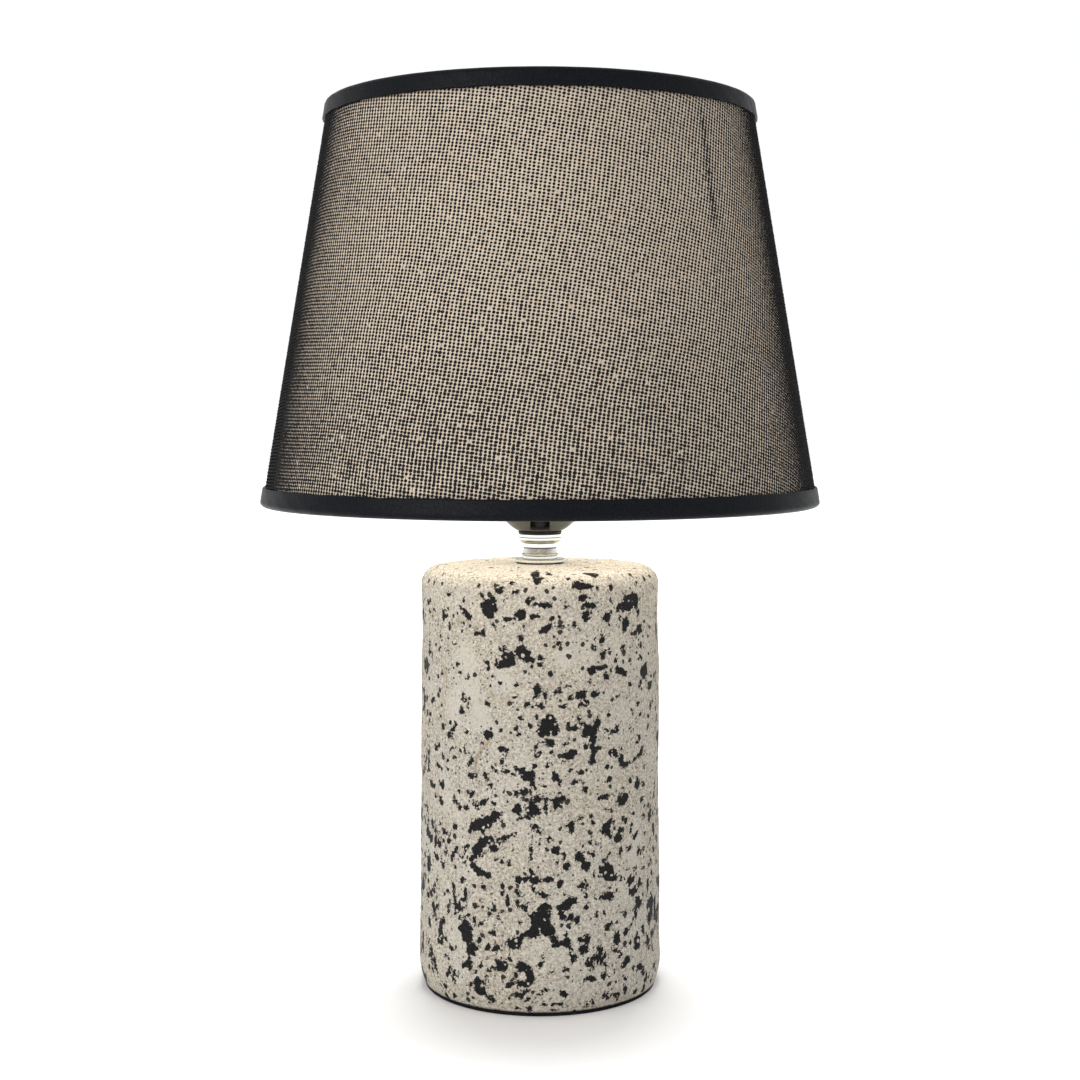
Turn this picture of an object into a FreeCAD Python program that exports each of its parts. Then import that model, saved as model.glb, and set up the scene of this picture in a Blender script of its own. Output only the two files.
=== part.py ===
"""Table lamp: speckled ceramic cylinder base, polished neck, E27 holder, LED bulb, tapered drum shade.

Millimetres, +Z up. The origin is the centre of the foot pad, on the surface the lamp stands on.
The lamp's front is -Y, and the cord hole is at the back, +Y.
"""

import FreeCAD, Part
import math
import os

# Driving dimensions of the base
BASE_R_LOW = 54.0          # radius above the bottom rounding
BASE_R_TOP = 53.0          # radius below the top rounding
BASE_R_FOOT = 51.9         # radius where the wall meets the foot pad
BASE_TOP_Z = 186.5
BASE_TOP_ROUND = 7.5
BASE_FOOT_ROUND_Z = 12.0   # height where the bottom rounding ends
BASE_WALL = 7.0
BASE_ROOF = 9.0
BASE_HOLE_R = 5.3
BASE_SEAT_R = 13.0         # the roof rises gently to a flat seat for the neck
BASE_SEAT_Z = 187.7
PAD_R = 51.5
PAD_Z = 2.0

# Cord inlet at the back of the base
INLET_Z = 18.0
INLET_R = 3.5
GROMMET_R = 6.0
GROMMET_FLANGE_R = 8.5
GROMMET_FLANGE = 2.0
GROMMET_SEAT_Y = 52.9      # depth of the flat spot that the flange sits on
GROMMET_LIP_Y = 45.6       # the inner lip's outer face, clear of the curved inner wall
GROMMET_LIP = 1.5
GROMMET_LIP_R = 7.5

# Threaded nipple and what it clamps
NIPPLE_R = 5.0             # M10
NIPPLE_BORE_R = 3.8
NIPPLE_LOW_Z = 165.0
NIPPLE_TOP_Z = 211.0
SLIP_R = 5.05              # bore of the pieces stacked on the nipple
NECK_WASHER = 0.5
STEEL_WASHER = 1.5
LOCK_WASHER = 1.6
HEX_NUT = 4.0
HEX_ACROSS_FLATS = 14.0

# Polished neck and black ring under the holder
NECK_FLANGE_R = 11.4
NECK_GAP_R = 7.9
NECK_BEAD_R = 8.4
NECK_WAIST_R = 7.5
NECK_STEP_R = 8.2
NECK_DISC_R = 9.85
NECK_TOP_Z = 201.1
RING_TOP_Z = 202.6

# Holder, E27
DOME_FOOT_R = 10.2
DOME_R = 19.05
DOME_ARC_R = 15.5          # radius of the dome's curved shoulder
DOME_ARC_Z = 216.5         # height where the shoulder ends
DOME_TOP_Z = 228.0
DOME_WALL = 1.6
DOME_BOSS_R = 8.0
DOME_BOSS_Z = 211.5
WINDOW_WIDTH = 8.7
WINDOW_LOW_Z = 203.2
WINDOW_TOP_Z = 214.5
WINDOW_DEPTH_R = 9.6       # the windows stop at this distance from the axis
SET_SCREW_R = 1.5
SET_SCREW_Z = 207.5
CORE_R = 16.0
CORE_LOW_Z = 214.5
CORE_TOP_Z = 221.5
SLEEVE_R = 19.3            # crest radius of the sleeve's outer thread
SLEEVE_SKIRT_R = 17.4
SLEEVE_BORE_R = 16.1
SLEEVE_LOW_Z = 221.5
SLEEVE_TOP_Z = 250.0
SLEEVE_LIP_R = 14.3
COLLAR_R = 23.0
COLLAR_LOW_Z = 231.5
COLLAR_TOP_Z = 234.0
THREAD_PITCH = 2.0
THREAD_DEPTH = 0.5
SHELL_R = 13.25            # inner radius of the screw shell
SHELL_WALL = 0.45
SHELL_TOP_Z = 246.0
CONTACT_Z = 223.5          # where the bulb's centre contact meets the spring strip

# Bulb, E27 candle size
BULB_CAP_R = 13.0
BULB_CAP_WALL = 0.4
BULB_CAP_LOW_Z = 227.5
BULB_CAP_TOP_Z = 250.6
BULB_R = 18.5
BULB_RIM_R = 18.0
BULB_RIM_Z = 268.0
BULB_TOP_Z = 328.0
BULB_WALL = 1.2
LED_COUNT = 8
LED_RING_R = 10.0
LED_SIZE = 2.8

# Shade: a cone whose fabric surface is given at two heights
SHADE_R_LOW = 124.1
SHADE_Z_LOW = 216.0
SHADE_R_HIGH = 95.85
SHADE_Z_HIGH = 392.3
SHADE_BOTTOM_Z = 214.0
SHADE_TOP_Z = 394.3
NET = 0.8
LINER = 0.7
TRIM_PROUD = 0.9
TRIM_INNER = 0.6
TRIM_HEIGHT_LOW = 8.5
TRIM_HEIGHT_HIGH = 8.0
HOOP_R_LOW = 1.5
HOOP_R_HIGH = 1.3
HOOP_LIFT = 3.6            # hoop centre's distance from the shade's edge
SEAM_ANGLE = -46.0         # where the liner's ends overlap, from +X
SEAM_WIDTH = 10.0
SEAM = 0.5

# Shade fitter
FITTER_R_IN = 20.3
FITTER_R_OUT = 29.0
FITTER = 1.2
SPOKES = 3
SPOKE_R = 1.4
SPOKE_FIRST_ANGLE = 90.0
CLAMP_R_IN = 19.55
CLAMP_R_OUT = 27.0
CLAMP_HEIGHT = 6.0
CLAMP_GRIPS = 24
CLAMP_GRIP_R = 0.9

AXIS = FreeCAD.Vector(0, 0, 1)
ORIGIN = FreeCAD.Vector(0, 0, 0)


def save(node, shape):
    """Writes one piece, after a check that it is sound."""
    if not shape.isValid() or shape.Volume <= 0 or not shape.Solids:
        raise RuntimeError(node + " isn't a sound solid")
    shape.exportStep("parts/" + node + ".step")
    print(f"{node:18s} {shape.Volume / 1000:9.3f} cm3  {len(shape.Solids)} solid(s)")


def at(r, z):
    return FreeCAD.Vector(r, 0, z)


def outline(*steps):
    """A closed flat face in the XZ plane.

    A step is a point (r, z), an arc's (middle, end), or a list of points for a smooth curve that
    starts along the axis and crosses it square.
    """
    edges = []
    start = at(*steps[0])
    last = start
    for step in steps[1:]:
        if isinstance(step, list):
            points = [last] + [at(*point) for point in step]
            end = points[-1]
            curve = Part.BSplineCurve()
            if end.x == 0:
                curve.interpolate(Points=points, InitialTangent=at(0, 1), FinalTangent=at(-1, 0))
            else:
                curve.interpolate(Points=points)
            edges.append(curve.toShape())
        elif isinstance(step[0], tuple):
            end = at(*step[1])
            arc = Part.Arc(last, at(*step[0]), end).toShape()
            crosses_axis = arc.Curve.Center.x < arc.Curve.Radius
            edges.append(arc.toNurbs().Edges[0] if crosses_axis else arc)
        else:
            end = at(*step)
            edges.append(Part.LineSegment(last, end).toShape())
        last = end
    if last.distanceToPoint(start) > 1e-6:
        edges.append(Part.LineSegment(last, start).toShape())
    return Part.Face(Part.Wire(edges))


def turned(*steps):
    """A round piece whose half section is the outline."""
    return outline(*steps).revolve(ORIGIN, AXIS, 360)


def tube(r_out, r_in, low, high):
    return turned((r_in, low), (r_out, low), (r_out, high), (r_in, high))


def disc(r, low, high):
    return Part.makeCylinder(r, high - low, at(0, low), AXIS)


def on_arc(centre, radius, degrees):
    """A point (r, z) on a circle in the section, counted from the outward direction."""
    a = math.radians(degrees)
    return (centre[0] + radius * math.cos(a), centre[1] + radius * math.sin(a))


def corner(r, z, radius, start, end):
    """An arc step round a centre (r, z), between two directions in degrees."""
    return (on_arc((r, z), radius, (start + end) / 2), on_arc((r, z), radius, end))


def radial_cylinder(r, start, end, z, angle):
    """A cylinder along a radius, from one distance to another."""
    a = math.radians(angle)
    way = FreeCAD.Vector(math.cos(a), math.sin(a), 0)
    return Part.makeCylinder(r, end - start, way * start + at(0, z), way)


def shade_r(z, inward=0.0):
    """Radius of the fabric's outer surface at a height, less a distance inward."""
    share = (z - SHADE_Z_LOW) / (SHADE_Z_HIGH - SHADE_Z_LOW)
    return SHADE_R_LOW + share * (SHADE_R_HIGH - SHADE_R_LOW) - inward


def cone_shell(inward, thickness, low, high):
    """A layer of the shade, parallel to its outer surface."""
    return turned(
        (shade_r(low, inward + thickness), low),
        (shade_r(low, inward), low),
        (shade_r(high, inward), high),
        (shade_r(high, inward + thickness), high),
    )


# Base


def base_body():
    """Thrown shell, open below, with a slightly crowned roof, a soft shoulder and a rounded foot."""
    inner = BASE_R_LOW - BASE_WALL
    roof_low = BASE_TOP_Z - BASE_ROOF
    foot_round = ((BASE_R_LOW - 0.55, PAD_Z + 4.0), (BASE_R_LOW, BASE_FOOT_ROUND_Z))
    shoulder = BASE_TOP_Z - BASE_TOP_ROUND
    shell = turned(
        (BASE_R_FOOT, PAD_Z),
        foot_round,
        (BASE_R_TOP, shoulder),
        corner(BASE_R_TOP - BASE_TOP_ROUND, shoulder, BASE_TOP_ROUND, 0, 90),
        (BASE_SEAT_R, BASE_SEAT_Z),
        (BASE_HOLE_R, BASE_SEAT_Z),
        (BASE_HOLE_R, roof_low),
        (inner - BASE_TOP_ROUND, roof_low),
        corner(inner - BASE_TOP_ROUND, roof_low - BASE_TOP_ROUND, BASE_TOP_ROUND, 90, 0),
        (inner, PAD_Z),
    )
    hole = radial_cylinder(GROMMET_R, inner - 6, BASE_R_LOW + 2, INLET_Z, 90)
    seat = radial_cylinder(GROMMET_FLANGE_R + 0.2, GROMMET_SEAT_Y, BASE_R_LOW + 2, INLET_Z, 90)
    return shell.cut(hole).cut(seat)


def foot_pad():
    edge = 0.3
    return turned(
        (0, 0),
        (PAD_R - edge, 0),
        (PAD_R, edge),
        (PAD_R, PAD_Z),
        (0, PAD_Z),
    )


def cord_grommet():
    """Flanged bush in the cord hole, drawn along Z and then laid along +Y."""
    front = GROMMET_SEAT_Y + GROMMET_FLANGE
    lip = GROMMET_LIP_Y - GROMMET_LIP
    bush = turned(
        (INLET_R, lip),
        (GROMMET_R, lip),
        (GROMMET_LIP_R, lip + 0.9),
        (GROMMET_LIP_R, GROMMET_LIP_Y),
        (GROMMET_R, GROMMET_LIP_Y),
        (GROMMET_R, GROMMET_SEAT_Y),
        (GROMMET_FLANGE_R, GROMMET_SEAT_Y),
        (GROMMET_FLANGE_R, front - 1.2),
        corner(GROMMET_FLANGE_R - 1.2, front - 1.2, 1.2, 0, 90),
        (INLET_R, front),
    )
    bush.rotate(ORIGIN, FreeCAD.Vector(1, 0, 0), -90)
    bush.translate(at(0, INLET_Z))
    return bush


# Nipple, washers and nut


def threaded_nipple():
    """M10 steel tube; its fine thread is drawn as plain."""
    end = 0.6
    return turned(
        (NIPPLE_BORE_R, NIPPLE_LOW_Z),
        (NIPPLE_R - end, NIPPLE_LOW_Z),
        (NIPPLE_R, NIPPLE_LOW_Z + end),
        (NIPPLE_R, NIPPLE_TOP_Z - end),
        (NIPPLE_R - end, NIPPLE_TOP_Z),
        (NIPPLE_BORE_R, NIPPLE_TOP_Z),
    )


def stack_below_roof():
    """Heights of the washer, lock washer and nut under the base's roof, from the top down."""
    roof_low = BASE_TOP_Z - BASE_ROOF
    washer_low = roof_low - STEEL_WASHER
    lock_low = washer_low - LOCK_WASHER
    return roof_low, washer_low, lock_low, lock_low - HEX_NUT


def lock_washer():
    """Split spring washer."""
    _, washer_low, lock_low, _ = stack_below_roof()
    ring = tube(8.6, SLIP_R, lock_low, washer_low)
    gap = Part.makeBox(12, 1.2, LOCK_WASHER + 2, FreeCAD.Vector(0, -0.6, lock_low - 1))
    return ring.cut(gap)


def hex_nut():
    _, _, lock_low, nut_low = stack_below_roof()
    across_corners = HEX_ACROSS_FLATS / math.cos(math.radians(30))
    points = []
    for i in range(7):
        a = math.radians(60 * i)
        points.append(FreeCAD.Vector(across_corners / 2 * math.cos(a), across_corners / 2 * math.sin(a), nut_low))
    prism = Part.Face(Part.makePolygon(points)).extrude(AXIS * HEX_NUT)
    chamfers = turned(
        (0, nut_low),
        (HEX_ACROSS_FLATS / 2, nut_low),
        (across_corners / 2, nut_low + 0.7),
        (across_corners / 2, lock_low - 0.7),
        (HEX_ACROSS_FLATS / 2, lock_low),
        (0, lock_low),
    )
    return prism.common(chamfers).cut(disc(SLIP_R, nut_low - 1, lock_low + 1))


# Neck


def neck_spool():
    """Turned metal spool: flange, bead, waist and disc."""
    low = BASE_SEAT_Z + NECK_WASHER
    flange_top = low + 1.7
    bead_low = flange_top + 1.2
    bead_top = bead_low + 1.2
    waist_low = NECK_TOP_Z - 6.3
    waist_top = NECK_TOP_Z - 4.2
    disc_low = NECK_TOP_Z - 3.1
    return turned(
        (SLIP_R, low),
        (NECK_FLANGE_R - 0.4, low),
        (NECK_FLANGE_R, low + 0.4),
        (NECK_FLANGE_R, flange_top - 0.6),
        corner(NECK_FLANGE_R - 0.6, flange_top - 0.6, 0.6, 0, 90),
        (NECK_GAP_R, flange_top),
        (NECK_GAP_R, bead_low),
        ((NECK_BEAD_R, (bead_low + bead_top) / 2), (NECK_GAP_R, bead_top)),
        (NECK_WAIST_R, waist_low),
        (NECK_WAIST_R, waist_top),
        (NECK_STEP_R, waist_top),
        (NECK_DISC_R - 0.4, disc_low),
        (NECK_DISC_R, disc_low + 0.4),
        (NECK_DISC_R, NECK_TOP_Z - 0.3),
        (NECK_DISC_R - 0.3, NECK_TOP_Z),
        (SLIP_R, NECK_TOP_Z),
    )


def neck_ring():
    """Black washer with a rounded edge between the neck and the holder."""
    middle = (NECK_TOP_Z + RING_TOP_Z) / 2
    edge = NECK_DISC_R - 0.4
    return turned(
        (SLIP_R, NECK_TOP_Z),
        (edge, NECK_TOP_Z),
        ((NECK_DISC_R, middle), (edge, RING_TOP_Z)),
        (SLIP_R, RING_TOP_Z),
    )


# Holder


def window_cutters():
    """One window at the front of the dome and one at the back."""
    depth = 30.0
    box = Part.makeBox(
        WINDOW_WIDTH,
        depth,
        WINDOW_TOP_Z - WINDOW_LOW_Z,
        FreeCAD.Vector(-WINDOW_WIDTH / 2, -WINDOW_DEPTH_R - depth, WINDOW_LOW_Z),
    )
    back = box.copy()
    back.rotate(ORIGIN, AXIS, 180)
    return box.fuse(back)


def holder_dome():
    """Lower half of the holder: rounded shoulder, threaded boss on the nipple, two windows."""
    centre = (DOME_R - DOME_ARC_R, DOME_ARC_Z)
    low_angle = -math.degrees(math.asin((DOME_ARC_Z - RING_TOP_Z) / DOME_ARC_R))
    foot = on_arc(centre, DOME_ARC_R, low_angle)
    inner_r = DOME_ARC_R - DOME_WALL
    floor_z = RING_TOP_Z + 1.4
    inner_angle = -math.degrees(math.asin((DOME_ARC_Z - floor_z) / inner_r))
    shell = turned(
        (SLIP_R, RING_TOP_Z),
        foot,
        corner(centre[0], centre[1], DOME_ARC_R, low_angle, 0),
        (DOME_R, DOME_TOP_Z - 0.4),
        (DOME_R - 0.4, DOME_TOP_Z),
        (DOME_R - DOME_WALL, DOME_TOP_Z),
        (DOME_R - DOME_WALL, DOME_ARC_Z),
        corner(centre[0], centre[1], inner_r, 0, inner_angle),
        (DOME_BOSS_R, floor_z),
        (DOME_BOSS_R, DOME_BOSS_Z),
        (SLIP_R, DOME_BOSS_Z),
    )
    return shell.cut(window_cutters()).cut(set_screw_rod())


def set_screw_rod():
    """A rod through the boss and the dome's wall, for the set screw's hole."""
    return radial_cylinder(SET_SCREW_R, SLIP_R - 1, DOME_R, SET_SCREW_Z, 0)


def dome_set_screw():
    """Slotted grub screw that stops the holder turning on the nipple."""
    tip = SLIP_R + 0.15
    head = 15.6
    screw = radial_cylinder(SET_SCREW_R, tip, head, SET_SCREW_Z, 0)
    slot = Part.makeBox(0.8, 0.5, 4, FreeCAD.Vector(head - 0.8, -0.25, SET_SCREW_Z - 2))
    return screw.cut(slot)


def holder_core():
    """Insulating insert that carries the shell, the spring contact and the terminals."""
    plate = disc(CORE_R, CORE_LOW_Z, CORE_TOP_Z)
    for side in (-1, 1):
        channel = Part.makeBox(7.0, 8.0, 5.0, FreeCAD.Vector(side * 9 - 3.5, -4, CORE_LOW_Z - 1))
        plate = plate.cut(channel)
    return plate


def terminal(side):
    """Brass clamp block in the core's underside, with a wire hole and a screw hole."""
    block = Part.makeBox(5.0, 7.0, 4.0, FreeCAD.Vector(side * 9 - 2.5, -3.5, CORE_LOW_Z))
    wire = Part.makeCylinder(1.1, 12, FreeCAD.Vector(side * 9, -6, CORE_LOW_Z + 2), FreeCAD.Vector(0, 1, 0))
    screw = Part.makeCylinder(1.2, 3, FreeCAD.Vector(side * 9, 0, CORE_LOW_Z - 1), AXIS)
    return block.cut(wire).cut(screw)


def terminal_screws():
    """Two identical slotted screws, one below each terminal."""
    screws = []
    for side in (-1, 1):
        place = FreeCAD.Vector(side * 9, 0, CORE_LOW_Z - 1.4)
        head = Part.makeCylinder(2.0, 1.4, place, AXIS)
        shank = Part.makeCylinder(1.15, 2.2, place, AXIS)
        slot = Part.makeBox(6, 0.5, 0.6, place - FreeCAD.Vector(3, 0.25, 0))
        screws.append(head.fuse(shank).removeSplitter().cut(slot))
    return Part.makeCompound(screws)


def screw_shell():
    """E27 shell, drawn with a plain bore at its thread's crest."""
    outer = SHELL_R + SHELL_WALL
    return turned(
        (10.0, CORE_TOP_Z),
        (outer, CORE_TOP_Z),
        (outer, SHELL_TOP_Z),
        (SHELL_R, SHELL_TOP_Z),
        (SHELL_R, CORE_TOP_Z + SHELL_WALL),
        (10.0, CORE_TOP_Z + SHELL_WALL),
    )


def centre_contact():
    """Spring strip: a foot on the core, a slope and a flat tip under the bulb."""
    strip = 0.5
    section = [
        (-6.5, CORE_TOP_Z),
        (-2.5, CORE_TOP_Z),
        (0.5, CONTACT_Z - strip),
        (3.0, CONTACT_Z - strip),
        (3.0, CONTACT_Z),
        (0.2, CONTACT_Z),
        (-2.8, CORE_TOP_Z + strip),
        (-6.5, CORE_TOP_Z + strip),
    ]
    points = [FreeCAD.Vector(x, -2.5, z) for x, z in section]
    points.append(points[0])
    return Part.Face(Part.makePolygon(points)).extrude(FreeCAD.Vector(0, 5, 0))


def holder_sleeve():
    """Upper half of the holder: skirt in the dome, collar for the shade, outer thread, rim."""
    rim_low = SLEEVE_TOP_Z - 2.4
    low_shoulder = DOME_TOP_Z
    steps = [
        (SLEEVE_BORE_R, SLEEVE_LOW_Z),
        (SLEEVE_SKIRT_R, SLEEVE_LOW_Z),
        (SLEEVE_SKIRT_R, low_shoulder),
        (DOME_R, low_shoulder),
        (DOME_R, COLLAR_LOW_Z),
        (COLLAR_R - 0.5, COLLAR_LOW_Z),
        (COLLAR_R, COLLAR_LOW_Z + 0.5),
        (COLLAR_R, COLLAR_TOP_Z),
        (SLEEVE_R - THREAD_DEPTH, COLLAR_TOP_Z),
    ]
    z = COLLAR_TOP_Z + 1.0
    while z + THREAD_PITCH < rim_low:
        steps.append((SLEEVE_R - THREAD_DEPTH, z))
        steps.append((SLEEVE_R, z + 0.35 * THREAD_PITCH))
        steps.append((SLEEVE_R, z + 0.5 * THREAD_PITCH))
        steps.append((SLEEVE_R - THREAD_DEPTH, z + 0.85 * THREAD_PITCH))
        z += THREAD_PITCH
    steps += [
        (SLEEVE_R - THREAD_DEPTH, SLEEVE_TOP_Z - 0.8),
        corner(SLEEVE_R - THREAD_DEPTH - 0.8, SLEEVE_TOP_Z - 0.8, 0.8, 0, 90),
        (SLEEVE_LIP_R, SLEEVE_TOP_Z),
        (SLEEVE_LIP_R, rim_low),
        (SLEEVE_BORE_R, rim_low),
    ]
    return turned(*steps)


# Shade, fitter and clamp ring


def bottom_hoop_centre():
    z = SHADE_BOTTOM_Z + HOOP_LIFT
    return (shade_r(z, NET + LINER + HOOP_R_LOW + 0.1), z)


def top_hoop_centre():
    z = SHADE_TOP_Z - HOOP_LIFT + 0.2
    return (shade_r(z, NET + LINER + HOOP_R_HIGH + 0.1), z)


def hoop(centre, r):
    return Part.makeTorus(centre[0], r, at(0, centre[1]), AXIS)


def trim(edge_z, way, height, hoop_r):
    """Folded tape over an edge of the shade. way is +1 at the bottom edge and -1 at the top edge.

    The section runs down the outside, round the edge, up the inside past the hoop, and closes
    across the fabric, which is cut out of it later.
    """
    turn_z = edge_z + way * 2.0
    end_z = edge_z + way * height
    inside = NET + LINER + 2 * hoop_r + 0.5
    bulge_z = edge_z + way * (HOOP_LIFT + hoop_r + 0.3)
    slope_z = bulge_z + way * 1.4
    flat = NET + LINER + TRIM_INNER
    edge_r = (shade_r(turn_z, -TRIM_PROUD) + shade_r(turn_z, inside)) / 2
    return turned(
        (shade_r(end_z, -TRIM_PROUD + 0.4), end_z),
        (shade_r(end_z, -TRIM_PROUD), end_z - way * 0.5),
        (shade_r(turn_z, -TRIM_PROUD), turn_z),
        ((edge_r, edge_z), (shade_r(turn_z, inside), turn_z)),
        (shade_r(bulge_z, inside), bulge_z),
        (shade_r(slope_z, flat), slope_z),
        (shade_r(end_z, flat), end_z),
    )


def fabric_ends():
    """Heights of the net's and liner's lower and upper edges, inside the trims."""
    return SHADE_BOTTOM_Z + 2.2, SHADE_TOP_Z - 2.2


def liner_seam():
    """Glued lap strip down the inside of the liner, between the trims."""
    inward = NET + LINER
    low = SHADE_BOTTOM_Z + TRIM_HEIGHT_LOW + 0.5
    high = SHADE_TOP_Z - TRIM_HEIGHT_HIGH - 0.5
    section = outline(
        (shade_r(low, inward + SEAM), low),
        (shade_r(low, inward), low),
        (shade_r(high, inward), high),
        (shade_r(high, inward + SEAM), high),
    )
    spread = math.degrees(SEAM_WIDTH / shade_r((low + high) / 2))
    strip = section.revolve(ORIGIN, AXIS, spread)
    strip.rotate(ORIGIN, AXIS, SEAM_ANGLE - spread / 2)
    return strip


def fitter_ring():
    return tube(FITTER_R_OUT, FITTER_R_IN, COLLAR_TOP_Z, COLLAR_TOP_Z + FITTER)


def spoke(number):
    """Wire from the bottom hoop, inward and up to the fitter ring's edge."""
    hoop_r, hoop_z = bottom_hoop_centre()
    start = at(hoop_r, hoop_z)
    end = at(FITTER_R_OUT - 3, COLLAR_TOP_Z + FITTER / 2)
    wire = Part.makeCylinder(SPOKE_R, (end - start).Length, start, end - start)
    wire = wire.cut(disc(FITTER_R_OUT, COLLAR_TOP_Z - 5, COLLAR_TOP_Z + 5))
    wire = wire.cut(hoop(bottom_hoop_centre(), HOOP_R_LOW))
    inner = max(wire.Solids, key=lambda s: s.Volume)
    inner.rotate(ORIGIN, AXIS, SPOKE_FIRST_ANGLE + number * 360 / SPOKES)
    return inner


def shade_clamp_ring():
    """Screw ring with finger grips; its bore is plain and clears the sleeve's thread."""
    low = COLLAR_TOP_Z + FITTER
    high = low + CLAMP_HEIGHT
    ring = turned(
        (CLAMP_R_IN, low),
        (CLAMP_R_OUT - 0.4, low),
        (CLAMP_R_OUT, low + 0.4),
        (CLAMP_R_OUT, low + 2.0),
        (CLAMP_R_OUT - 3.0, low + 3.0),
        (CLAMP_R_OUT - 3.0, high - 0.6),
        (CLAMP_R_OUT - 3.6, high),
        (CLAMP_R_IN, high),
    )
    for i in range(CLAMP_GRIPS):
        a = math.radians(360 / CLAMP_GRIPS * i)
        place = FreeCAD.Vector(CLAMP_R_OUT * math.cos(a), CLAMP_R_OUT * math.sin(a), low - 1)
        ring = ring.cut(Part.makeCylinder(CLAMP_GRIP_R, CLAMP_HEIGHT, place, AXIS))
    return ring


# Bulb


def bulb_envelope():
    """Frosted candle-shaped cover, open below."""
    height = BULB_TOP_Z - BULB_RIM_Z
    full = [(BULB_R, 0.25), (17.4, 0.45), (13.2, 0.68), (7.4, 0.88)]

    def profile(shrink):
        """The curve from the rim to the tip, set in by the wall."""
        curve = [(r - shrink, BULB_RIM_Z + share * height) for r, share in full]
        return curve + [(0, BULB_TOP_Z - shrink)]

    inner_r = BULB_RIM_R - BULB_WALL
    low = BULB_RIM_Z - 1
    outer = turned((0, BULB_RIM_Z), (BULB_RIM_R, BULB_RIM_Z), profile(0.0))
    inner = turned((0, low), (inner_r, low), (inner_r, BULB_RIM_Z), profile(BULB_WALL))
    return outer.cut(inner)


def bulb_housing():
    """Flared plastic housing: a neck inside the screw cap and a seat for the LED board."""
    neck_r = BULB_CAP_R - BULB_CAP_WALL
    seat_z = BULB_RIM_Z - 1.6
    wall = 1.5
    return turned(
        (neck_r - wall, BULB_CAP_LOW_Z + 5),
        (neck_r, BULB_CAP_LOW_Z + 5),
        (neck_r, BULB_CAP_TOP_Z),
        (BULB_CAP_R + 0.6, BULB_CAP_TOP_Z),
        [(16.0, BULB_CAP_TOP_Z + 6), (BULB_RIM_R, BULB_RIM_Z)],
        (BULB_RIM_R - BULB_WALL, BULB_RIM_Z),
        (BULB_RIM_R - BULB_WALL, seat_z),
        (BULB_RIM_R - 4.2, seat_z),
        (neck_r - wall, BULB_CAP_TOP_Z + 4),
    )


def bulb_screw_cap():
    """Thin metal cup; the E27 thread is drawn plain, at its crest."""
    inner = BULB_CAP_R - BULB_CAP_WALL
    return turned(
        (9.0, BULB_CAP_LOW_Z),
        (BULB_CAP_R - 1.2, BULB_CAP_LOW_Z),
        (BULB_CAP_R, BULB_CAP_LOW_Z + 1.2),
        (BULB_CAP_R, BULB_CAP_TOP_Z),
        (inner, BULB_CAP_TOP_Z),
        (inner, BULB_CAP_LOW_Z + 1.4),
        (inner - 1.0, BULB_CAP_LOW_Z + BULB_CAP_WALL),
        (9.0, BULB_CAP_LOW_Z + BULB_CAP_WALL),
    )


def cap_insulator():
    """Black glass cone between the screw cap and the centre contact."""
    low = CONTACT_Z + 1.2
    return turned(
        (0, low),
        (4.8, low),
        (9.6, BULB_CAP_LOW_Z),
        (9.0, BULB_CAP_LOW_Z),
        (9.0, BULB_CAP_LOW_Z + 1.5),
        (0, BULB_CAP_LOW_Z + 1.5),
    )


def cap_contact():
    return turned((0, CONTACT_Z), (3.2, CONTACT_Z), (4.6, CONTACT_Z + 0.7), (4.6, CONTACT_Z + 1.2), (0, CONTACT_Z + 1.2))


def led_board():
    return disc(BULB_RIM_R - BULB_WALL - 0.1, BULB_RIM_Z - 1.6, BULB_RIM_Z)


def led_chips():
    """Identical LED chips in a ring on the board."""
    chips = []
    for i in range(LED_COUNT):
        chip = Part.makeBox(LED_SIZE, LED_SIZE, 0.7, FreeCAD.Vector(LED_RING_R, -LED_SIZE / 2, BULB_RIM_Z))
        chip.rotate(ORIGIN, AXIS, 360 / LED_COUNT * i)
        chips.append(chip)
    return Part.makeCompound(chips)


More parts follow.
